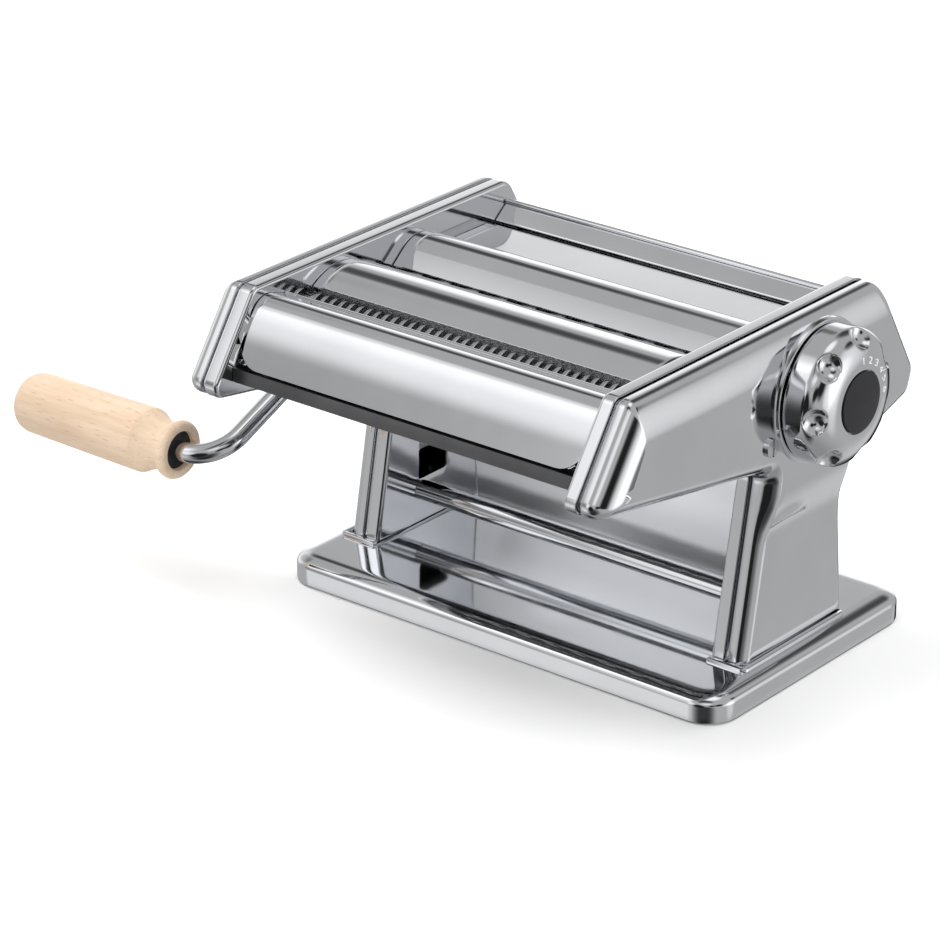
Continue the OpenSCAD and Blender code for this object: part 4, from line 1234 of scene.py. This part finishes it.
@dataclass
class Rollers:
    """Smooth rollers, cutters, and the tie bar and rods between the plates."""

    half_l: float = 75.0
    groove: float = 2.5
    edge: float = 0.25
    ridge_gap: float = 0.3
    wide_cut: float = 6.5
    fine_cut: float = 2.0
    bore_r: float = 3.9
    bore_l: float = 20.0
    driven_x: float = 90.5
    idle_x: float = 86.2
    right_x: float = 77.0
    rear_right_x: float = 79.3
    bar_at: Flat = (-6.5, 23.9)
    bar_r: float = 4.0
    bar_reach: float = 75.95

    def left_end(self, driven: bool) -> list[Corner]:
        """Returns a shaft's first corners: the crank's socket if it is driven, and the journal."""
        x = self.driven_x if driven else self.idle_x
        corners = [(AXIS_R, -x, 0)]
        if driven:
            floor = self.bore_l - x
            corners = [(AXIS_R, floor, 0), (self.bore_r, floor, 0), (self.bore_r, -x, 0.2)]
        return [*corners, (PLAN.journal_r, -x, 0.5), (PLAN.journal_r, -self.half_l, 0)]

    def right_end(self, x: float) -> list[Corner]:
        """Returns a shaft's last corners: the journal that ends at x."""
        j = PLAN.journal_r
        return [(j, self.half_l, 0), (j, x, 0.4), (AXIS_R, x, 0)]

    def smooth(self, y: float, right_x: float, driven: bool) -> Shape:
        """Returns a smooth roller with its journals."""
        shape = Shape()
        r, x = PLAN.smooth_r, self.half_l
        corners = [*self.left_end(driven), (r, -x, 0.8), (r, x, 0.8), *self.right_end(right_x)]
        lathe(shape, closed_outline(corners), (0, y, PLAN.smooth_z))
        return shape

    def cutter(self, y: float, z: float, cut: float, driven: bool) -> Shape:
        """Returns a cutter: rings on a core, with its journals.

        Args:
            y: The place along Y.
            z: The place along Z.
            cut: The noodle's width.
            driven: Whether the crank fits it. The other one's rings are half a pitch aside.

        Returns:
            The shape.
        """
        shape = Shape()
        low, high = PLAN.cutter_r - self.groove, PLAN.cutter_r
        half, pitch = (cut - self.ridge_gap) / 2, 2 * cut
        count = int((2 * self.half_l - cut) / pitch / 2)
        corners = [*self.left_end(driven), (low, -self.half_l, 0.3)]
        for k in range(-count, count + int(driven)):
            x = k * pitch + (0 if driven else cut)
            corners += [
                (low, x - half, 0.15), (high, x - half, self.edge),
                (high, x + half, self.edge), (low, x + half, 0.15),
            ]
        corners += [(low, self.half_l, 0.3), *self.right_end(self.right_x)]
        lathe(shape, closed_outline(corners, 2), (0, y, z), 72)
        return shape

    def bar(self) -> Shape:
        """Returns the plain round tie bar."""
        shape = Shape()
        x, r = self.bar_reach, self.bar_r
        corners = [(AXIS_R, -x, 0), (r, -x, 0.3), (r, x, 0.3), (AXIS_R, x, 0)]
        lathe(shape, closed_outline(corners), (0, *self.bar_at), 48)
        return shape

    def build(self, finishes: Finishes) -> None:
        """Makes the rollers, the cutters and the tie bar."""
        for name, y, right_x, driven, body in (
            ("front_smooth_roller", PLAN.front_smooth_y, self.right_x, True, "drive_roller"),
            ("rear_smooth_roller", PLAN.rear_smooth_y, self.rear_right_x, False, "idle_roller"),
        ):
            self.smooth(y, right_x, driven).skin(name, finishes.roller, "roller_steel", body)
        wide, fine = (PLAN.wide_z, self.wide_cut), (PLAN.fine_z, self.fine_cut)
        for name, y, (z, cut), driven, body in (
            ("front_wide_cutter", PLAN.front_wide_y, wide, False, "wide_idle"),
            ("rear_wide_cutter", PLAN.rear_wide_y, wide, True, "wide_driven"),
            ("front_fine_cutter", PLAN.front_fine_y, fine, False, "fine_idle"),
            ("rear_fine_cutter", PLAN.rear_fine_y, fine, True, "fine_driven"),
        ):
            made = self.cutter(y, z, cut, driven)
            made.skin(name, finishes.roller, "roller_steel", body, smooth_deg=30)
        self.bar().skin("lower_tie_bar", finishes.rod, "chrome_rod")


@dataclass
class Dial:
    """The thickness dial: boss, studs, knob with finger hollows, digits and cap."""

    floor_x: float = 94.9
    bore_r: float = 3.6
    rim_r: float = 25.0
    rim_h: float = 7.4
    crown_h: float = 15.65
    crown_in: float = 0.84
    cap_r: float = 11.2
    cap_floor: float = 14.7
    cap_gap: float = 0.2
    cap_wall: float = 1.15
    hollows: int = 7
    hollow_start: float = 29.0
    hollow_ring: float = 23.8
    hollow_h: float = 13.9
    hollow_r: float = 5.6
    hollow_tilt: float = 48.5
    hollow_soft: float = 0.4
    solid_h: float = 2.2
    digit_count: int = 6
    digit_size: float = 4.995
    digit_squash: float = 0.72
    digit_ring: float = 14.7
    digit_first: float = 86.0
    digit_step: float = -17.0
    digit_lift: float = 0.06
    digit_t: float = 0.09
    boss_r: float = 26.4
    boss_h: float = 1.6
    neck_r: float = 8.0
    neck_l: float = 7.0
    groove_r: Flat = (8.3, 11.3)
    stud_count: int = 6
    stud_first: float = 25.0
    stud_ring: float = 20.5
    stud_r: float = 1.8
    stud_wall: float = 0.7
    stud_dome: float = 0.95
    stud_sunk: float = 0.05

    @property
    def centre(self) -> Solid:
        """The dial's centre on its floor."""
        return (self.floor_x, PLAN.dial_y, PLAN.dial_z)

    def crown(self) -> list[Flat]:
        """Returns the knob's dome as (radius, height), from the rim to the cap."""
        inner = self.cap_r + self.crown_in
        return arc((inner, self.rim_h), (self.rim_r - inner, self.crown_h - self.rim_h), 40)

    def knob(self) -> Shape:
        """Returns the knob with its finger hollows pressed in."""
        shape = Shape()
        bore, rim, seat, floor = self.bore_r, self.rim_r, self.cap_r + self.cap_gap, self.cap_floor
        profile = [
            (bore, 0.2), (bore, 0.0), (12.7, 0.0), (13.0, 0.3), (13.0, 1.9), (13.2, 2.1),
            (23.3, 2.1), (23.3, 0.6), (23.6, 0.35), (24.5, 0.35), (24.85, 0.5), (rim, 0.85),
            (rim, 2.0), (rim, 4.0), (rim, 6.0), *self.crown(),
            (seat + 0.15, 15.6), (seat, 15.4), (seat, floor), (bore, floor),
        ]
        lathe(shape, profile, self.centre, 240)
        x, y, z = self.centre
        heres = [self.pressed(Vector((p[0] - x, p[1] - y, p[2] - z))) for p in shape.points]
        shape.points = [(x + here.x, y + here.y, z + here.z) for here in heres]
        return shape

    def pressed(self, here: Vector) -> Vector:
        """Returns where a point of the knob comes to lie when the hollows are pressed in."""
        if here.x <= self.solid_h or math.hypot(here.y, here.z) <= self.cap_r + 0.5:
            return here
        tilt = math.radians(self.hollow_tilt)
        for k in range(self.hollows):
            a = math.radians(self.hollow_start + 360 * k / self.hollows)
            away = Vector((0, math.cos(a), math.sin(a)))
            centre = away * self.hollow_ring + Vector((self.hollow_h, 0, 0))
            out = away * math.cos(tilt) + Vector((math.sin(tilt), 0, 0))
            deep = (here - centre).dot(out)
            wide = (here - centre - out * deep).length
            if wide < self.hollow_r and here.dot(away) > 0:
                press = deep + math.sqrt(self.hollow_r**2 - wide**2)
                if press > 0:
                    here = here - out * (press**2 / (press + self.hollow_soft))
        return here

    def crown_at(self, r: float) -> float:
        """Returns the dome's height at a radius."""
        line = self.crown()
        for (r0, h0), (r1, h1) in zip(line, line[1:]):
            if r1 <= r <= r0:
                return h0 + (h1 - h0) * ((r0 - r) / max(r0 - r1, 1e-9))
        return line[-1][1]

    def digits(self) -> bpy.types.Object:
        """Returns the dial's digits as thin plates that follow the dome."""
        bm = bmesh.new()
        for k in range(self.digit_count):
            text = bpy.data.curves.new(f"digit_{k + 1}", "FONT")
            text.body = str(k + 1)
            text.size = self.digit_size
            text.align_x, text.align_y = "CENTER", "CENTER"
            holder = linked(f"digit_{k + 1}", text)
            bpy.context.view_layer.update()
            flat = bpy.data.meshes.new_from_object(
                holder.evaluated_get(bpy.context.evaluated_depsgraph_get())
            )
            part = bmesh.new()
            part.from_mesh(flat)
            bmesh.ops.subdivide_edges(part, edges=part.edges, cuts=2, use_grid_fill=False)
            bmesh.ops.triangulate(part, faces=part.faces)
            turn = math.radians(self.digit_first + self.digit_step * k)
            for v in part.verts:
                r = self.digit_ring + v.co.y * self.digit_squash
                a = turn - v.co.x / self.digit_ring
                x = self.floor_x + self.crown_at(r) + self.digit_lift
                y, z = PLAN.dial_y + r * math.cos(a), PLAN.dial_z + r * math.sin(a)
                v.co = Vector((x, y, z)) * MM
            bm.from_mesh(meshed("digit_part", part))
            bpy.data.objects.remove(holder)
        bmesh.ops.recalc_face_normals(bm, faces=bm.faces)
        obj = linked("dial_digits", meshed("dial_digits", bm))
        thicken(obj, self.digit_t, 0.0)
        return obj

    def boss(self) -> Shape:
        """Returns the boss: a round step with a groove, and a neck inside the housing."""
        shape = Shape()
        x, top, low, r = PLAN.face_x, PLAN.face_x + self.boss_h, PLAN.face_x - 0.6, self.boss_r
        neck, end, (inner, outer) = self.neck_r, PLAN.face_x - self.neck_l, self.groove_r
        corners = [
            (self.bore_r, end, 0.2), (neck, end, 0.4), (neck, low, 0), (r, low, 0),
            (r, x, 0.6), (r - 0.4, top, 0.6), (outer, top, 0.1), (outer, x + 0.6, 0.1),
            (inner, x + 0.6, 0.1), (inner, top, 0.1), (self.bore_r, top, 0.2),
        ]
        lathe(shape, closed_outline(corners, 5), (0, PLAN.dial_y, PLAN.dial_z), 120)
        return shape

    def studs(self) -> Shape:
        """Returns the boss's small round studs."""
        shape = Shape()
        r, wall, dome, ring = self.stud_r, self.stud_wall, self.stud_dome, self.stud_ring
        top = arc((0.0, wall), (r, dome), 6)[:-1]
        profile = [(r, 0.0), *top, (AXIS_R, wall + dome), (AXIS_R, 0.0)]
        x = PLAN.face_x + self.boss_h - self.stud_sunk
        for k in range(self.stud_count):
            a = math.radians(self.stud_first + 360 / self.stud_count * k)
            y, z = PLAN.dial_y + ring * math.cos(a), PLAN.dial_z + ring * math.sin(a)
            lathe(shape, profile, (x, y, z), 28)
        return shape

    def cap(self) -> Shape:
        """Returns the black cap, slightly domed and bare."""
        shape = Shape()
        r, wall = self.cap_r, self.cap_wall
        profile = [(AXIS_R, 0.0), (r, 0.0), *arc((r - 0.35, wall), (0.35, 0.3), 6)]
        profile += [(a, 1.7 - 0.25 * (a / r) ** 2) for a in (10.4, 9, 7, 5, 3, 1, AXIS_R)]
        lathe(shape, profile, (self.floor_x + self.cap_floor, PLAN.dial_y, PLAN.dial_z))
        return shape

    def build(self, finishes: Finishes) -> None:
        """Makes the dial's pieces."""
        chrome, slot = finishes.chrome, "chrome_sheet"
        self.boss().skin("dial_boss", chrome, slot)
        self.studs().skin("dial_studs", chrome, slot)
        self.knob().skin("dial_knob", chrome, slot, "dial", smooth_deg=42)
        self.cap().skin("dial_cap", finishes.black, "black_plastic", "dial")
        settle(self.digits(), finishes.etched, slot, "dial")


@dataclass
class Crank:
    """The bent rod and its wooden grip."""

    reach: float = 115.0
    angle: float = 23.4
    plane_x: float = 107.5
    bend_r: float = 15.0
    hub_in_x: float = 74.5
    grip_x: float = 123.4
    grip_l: float = 77.0
    end_x: float = 197.2
    bead: float = 2.2
    bead_r: float = 11.1
    bore_r: float = 3.85
    recess_r: float = 7.3
    neck_r: float = 8.6
    shoulder_r: float = 11.7
    body_r: float = 12.2
    body_from: float = 17.0
    end_r: float = 11.6
    end_l: float = 6.0

    @property
    def hub(self) -> Vector:
        """A point on the hub's axis."""
        return Vector((0, PLAN.front_smooth_y, PLAN.smooth_z))

    @property
    def down(self) -> Vector:
        """The arm's direction from the hub to the grip."""
        a = math.radians(self.angle)
        return Vector((0, -math.cos(a), -math.sin(a)))

    def path(self) -> list[Vector]:
        """Returns the rod's centre line."""
        r, plane, reach, cuts = self.bend_r, self.plane_x, self.reach, 16
        line = [(0, self.hub_in_x), (0, plane - r - 6)]
        line += arc((r, plane - r), (-r, r), cuts)
        line += [(r + (reach - 2 * r) * k / 6, plane) for k in range(1, 6)]
        line += arc((reach - r, plane + r), (r, r), cuts, -math.pi / 2, 0)
        line += [(reach, plane + r + 20), (reach, self.end_x - 0.6)]
        return [self.hub + Vector((-out, 0, 0)) + self.down * fall for fall, out in line]

    def grip(self) -> Shape:
        """Returns the turned grip: bead, neck, shoulder, long body and rounded end."""
        shape = Shape()
        bead, bore, recess, inner = self.bead, self.bore_r, self.recess_r, self.bead_r - self.bead
        profile: list[Flat] = [(bore, 5.0), (recess, 5.0), (recess, 0.6), (7.6, 0.15), (8.3, 0.0)]
        profile += arc((inner, bead), (bead, bead), 14, -math.pi / 2)
        profile.append((8.9, 4.6))
        for k in range(1, 17):
            t = k / 16
            profile.append((self.neck_r + (self.shoulder_r - self.neck_r) * t**1.7, 5.6 + 9.6 * t))
        profile += [(11.95, 15.6), (12.12, 16.0), (self.body_r, 16.6)]
        start, stop = self.body_from, self.grip_l - self.end_l
        for k in range(1, 11):
            profile.append(along((self.body_r, start), (self.end_r, stop), k / 11))
        hole, tail = 7.4, self.grip_l - 4.6
        profile += arc((hole, stop), (self.end_r - hole, self.end_l), 12)
        profile += [(7.0, self.grip_l - 0.4), (6.9, tail), (bore, tail)]
        origin = self.hub + self.down * self.reach + Vector((-self.grip_x, 0, 0))
        lathe(shape, profile, tuple(origin), 120, -1)
        return shape

    def build(self, finishes: Finishes) -> None:
        """Makes the crank's pieces."""
        rod = Shape()
        tube(rod, self.path(), PLAN.rod_r)
        rod.skin("crank_rod", finishes.rod, "chrome_rod", "crank")
        self.grip().skin("wooden_grip", finishes.beech, "beech", "grip")


@dataclass
class Collars:
    """The black collars round the crank sockets."""

    outer: float = 8.2
    hole: float = 5.9
    thickness: float = 1.8

    def build(self, finishes: Finishes) -> None:
        """Makes the collars."""
        shape = Shape()
        x, front = -PLAN.face_x, -PLAN.face_x - self.thickness
        corners = [
            (self.hole, x, 0.1), (self.outer, x, 0.1), (self.outer, front, 0.7),
            (self.hole, front, 0.5),
        ]
        for y, z in SidePanel(Side.LEFT).sockets():
            lathe(shape, closed_outline(corners), (0, y, z), 64)
        shape.skin("socket_collars", finishes.black, "black_plastic")


@dataclass
class InnerWorks:
    """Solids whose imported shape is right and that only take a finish."""

    # These parts take the dark steel: partly their own dark tone, partly painted shade under the
    # covers
    dark: tuple[str, ...] = (
        "tie_rods", "fine_combs", "wide_combs", "smooth_scraper", "slide_guides",
        "carriage_right_plate", "carriage_left_plate", "carriage_rod", "carriage_scraper",
        "dial_shaft", "dial_spring", "index_pin", "crank_pin",
    )
    gears: tuple[str, ...] = (
        "front_smooth_gear", "rear_smooth_gear", "front_wide_gear", "rear_wide_gear",
        "front_fine_gear", "rear_fine_gear",
    )

    def build(self, finishes: Finishes) -> None:
        """Dresses each solid that stays in view."""
        plain = {
            "tie_screws": finishes.screw,
            "cover_screws": finishes.screw,
            "bearing_bushes": finishes.nylon,
            "rubber_feet": finishes.rubber,
            "grip_bush": finishes.black,
            "grip_washer": finishes.rod,
            **{name: finishes.dark for name in self.dark},
            **{name: finishes.gear for name in self.gears},
        }
        for name, material in plain.items():
            dress(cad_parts[name], material)
            LOG.info("%s: dressed", name)


@dataclass(frozen=True)
class Glow:
    """A soft patch in the surround: brighter, or darker where the gain is below zero."""

    toward: Solid
    inner_deg: float
    outer_deg: float
    gain: float


@dataclass
class Studio:
    """Floor, lights and camera."""

    aim: Solid = (-28.36, -36.93, 55.24)
    back: Solid = (0.5753, -0.7118, 0.4029)
    right: Solid = (0.7777, 0.6286, 0.0)
    distance: float = 1508.17
    lens: float = 160.85
    level: float = 0.42
    darkest: float = 0.015
    floor_z: float = -0.0004
    floor_dim: Rgb = (0.91, 0.91, 0.91)
    floor_tint: Rgb = (0.93, 0.93, 0.93)
    boxes: tuple[tuple[str, Solid, float, float], ...] = (
        ("key_box", (-0.9, -0.3, 1.7), 1.4, 30),
        ("fill_box", (1.2, -0.9, 1.6), 1.6, 22),
        ("rear_box", (0.3, 1.4, 1.5), 1.6, 20),
    )
    spot_at: Solid = (0.25, -1.65, 0.5)
    spot_aim: Solid = (0, 0.02, 0.05)
    spot_deg: float = 8.4
    spot_watts: float = 105
    glows: tuple[Glow, ...] = (
        Glow((0.84, 0.53, 0.08), 6, 30, 0.38),
        Glow((-0.54, 0.84, 0.0), 13, 27, 0.72),
        Glow((-0.54, -0.71, 0.46), 4, 20, 0.15),
        Glow((-0.5, -0.6, 0.63), 2, 18, 0.4),
        Glow((-0.64, -0.72, 0.2), 2, 17, -0.22),
        Glow((0.37, -0.81, -0.45), 8, 40, -0.38),
        Glow((-0.575, -0.712, -0.403), 2, 14, 0.18),
        Glow((-0.6, 0.55, 0.58), 1, 10, -0.36),
        Glow((-0.575, -0.402, 0.711), 2, 16, 0.4),
        Glow((0.85, 0.42, -0.31), 0, 19, 0.25),
        Glow((-0.2, 0.88, -0.42), 2, 22, -0.45),
        Glow((-0.94, 0.25, 0.25), 6, 34, 0.5),
        Glow((0.02, 0.66, -0.75), 6, 34, 0.2),
        Glow((0.91, 0.42, -0.02), 0, 20, 0.34),
        Glow((-0.1, 0.69, 0.72), 0, 22, -0.36),
        Glow((-0.84, 0.18, 0.51), 2, 22, -0.4),
        Glow((-0.33, -0.91, 0.24), 0, 20, 0.5),
        Glow((0.97, 0.18, -0.08), 0, 20, 0.45),
        Glow((0.93, -0.3, 0.2), 0, 18, -0.45),
        Glow((0.24, -0.49, 0.84), 4, 24, -0.4),
        Glow((0.38, -0.64, 0.67), 0, 20, 0.5),
        Glow((0.1, 0.1, 0.99), 4, 20, 0.6),
        Glow((-0.51, -0.77, -0.39), 0, 20, 0.15),
        Glow((0.1, -1.0, 0.02), 0, 24, -0.5),
        Glow((0.76, -0.63, 0.17), 0, 14, -0.45),
        Glow((0.62, 0.62, 0.48), 0, 12, -0.4),
        Glow((0.0, 0.0, -1.0), 28, 62, -0.14),
        Glow((-0.3, 0.67, -0.68), 6, 28, -0.4),
        Glow((-0.3, -0.1, -0.95), 4, 26, -0.25),
    )

    def camera(self) -> None:
        """Sets the camera where the photograph was taken from."""
        data = bpy.data.cameras.new("photo_camera")
        data.lens, data.sensor_width = self.lens, 36
        data.clip_start, data.clip_end = 0.05, 30
        cam = linked("photo_camera", data)
        back, right = Vector(self.back).normalized(), Vector(self.right).normalized()
        up = back.cross(right).normalized()
        turn = Matrix((right, up, back)).transposed().to_4x4()
        place = Vector(self.aim) * MM + back * self.distance * MM
        cam.matrix_world = Matrix.Translation(place) @ turn
        bpy.context.scene.camera = cam

    def floor(self) -> None:
        """Lays a plain pale floor."""
        n = Nodes("studio_floor")
        cloud = n.noise(3, detail=2)
        n.feed("Base Color", n.colours(cloud, [(0.3, self.floor_dim), (0.7, self.floor_tint)]))
        n.set(Roughness=0.75)
        bm = bmesh.new()
        bmesh.ops.create_grid(bm, x_segments=8, y_segments=8, size=6)
        plane = linked("studio_floor", meshed("studio_floor", bm))
        plane.location.z = self.floor_z
        dress(plane, n.material)
        plane.visible_glossy = False

    def lamp(self, data: bpy.types.Light, watts: float, place: Solid, aim: Solid) -> None:
        """Hangs a lamp that points at a place and that the chrome doesn't mirror."""
        data.energy = watts
        lamp = linked(data.name, data)
        lamp.location = place
        lamp.visible_glossy = False
        lamp.rotation_mode = "QUATERNION"
        lamp.rotation_quaternion = (Vector(place) - Vector(aim)).to_track_quat("Z", "Y")

    def lights(self) -> None:
        """Hangs three soft boxes, and a soft spot that lights the space between the legs."""
        for name, place, size, watts in self.boxes:
            data = bpy.data.lights.new(name, "AREA")
            data.shape = "RECTANGLE"
            data.size = data.size_y = size
            self.lamp(data, watts, place, (0, 0, 0.06))
        data = bpy.data.lights.new("leg_spot", "SPOT")
        data.spot_size, data.spot_blend = math.radians(self.spot_deg), 0.6
        data.shadow_soft_size = 0.12
        self.lamp(data, self.spot_watts, self.spot_at, self.spot_aim)

    def sky(self) -> None:
        """Sets the surround that the chrome mirrors: an even grey with soft cards and flags."""
        world = bpy.data.worlds.new("studio")
        n = Tree(world)
        place = n.add("ShaderNodeTexCoord").outputs["Generated"]
        total = n.constant(self.level)
        for glow in self.glows:
            centre = {1: Vector(glow.toward).normalized()}
            toward = n.add("ShaderNodeVectorMath", centre, operation="DOT_PRODUCT")
            edges = {
                "From Min": math.cos(math.radians(glow.outer_deg)),
                "From Max": math.cos(math.radians(glow.inner_deg)),
                "To Max": glow.gain,
            }
            fade = n.add("ShaderNodeMapRange", edges, interpolation_type="SMOOTHSTEP")
            add = n.add("ShaderNodeMath", operation="ADD")
            n.link(place, toward.inputs[0])
            n.link(toward.outputs["Value"], fade.inputs["Value"])
            n.link(total, add.inputs[0])
            n.link(fade.outputs["Result"], add.inputs[1])
            total = add.outputs[0]
        limit = n.add("ShaderNodeMath", {1: self.darkest}, operation="MAXIMUM")
        n.link(total, limit.inputs[0])
        shade, out = n.add("ShaderNodeBackground"), n.add("ShaderNodeOutputWorld")
        n.link(limit.outputs[0], shade.inputs["Color"])
        n.link(shade.outputs["Background"], out.inputs["Surface"])
        bpy.context.scene.world = world

    def build(self) -> None:
        """Sets up the studio."""
        self.camera()
        self.floor()
        self.sky()
        self.lights()
        bpy.context.scene.view_settings.view_transform = "Standard"


def main() -> None:
    """Builds every piece in order."""
    finishes = Finishes()
    Studio().build()
    panels = (SidePanel(Side.LEFT), SidePanel(Side.RIGHT))
    for maker in (
        Base(), *panels, Covers(), Rollers(), Dial(), Crank(), Collars(), InnerWorks(),
    ):
        maker.build(finishes)
        LOG.info("%s: done", type(maker).__name__)


if __name__ == "__main__":
    logging.basicConfig(level=logging.INFO, format="%(name)s: %(message)s")
    main()
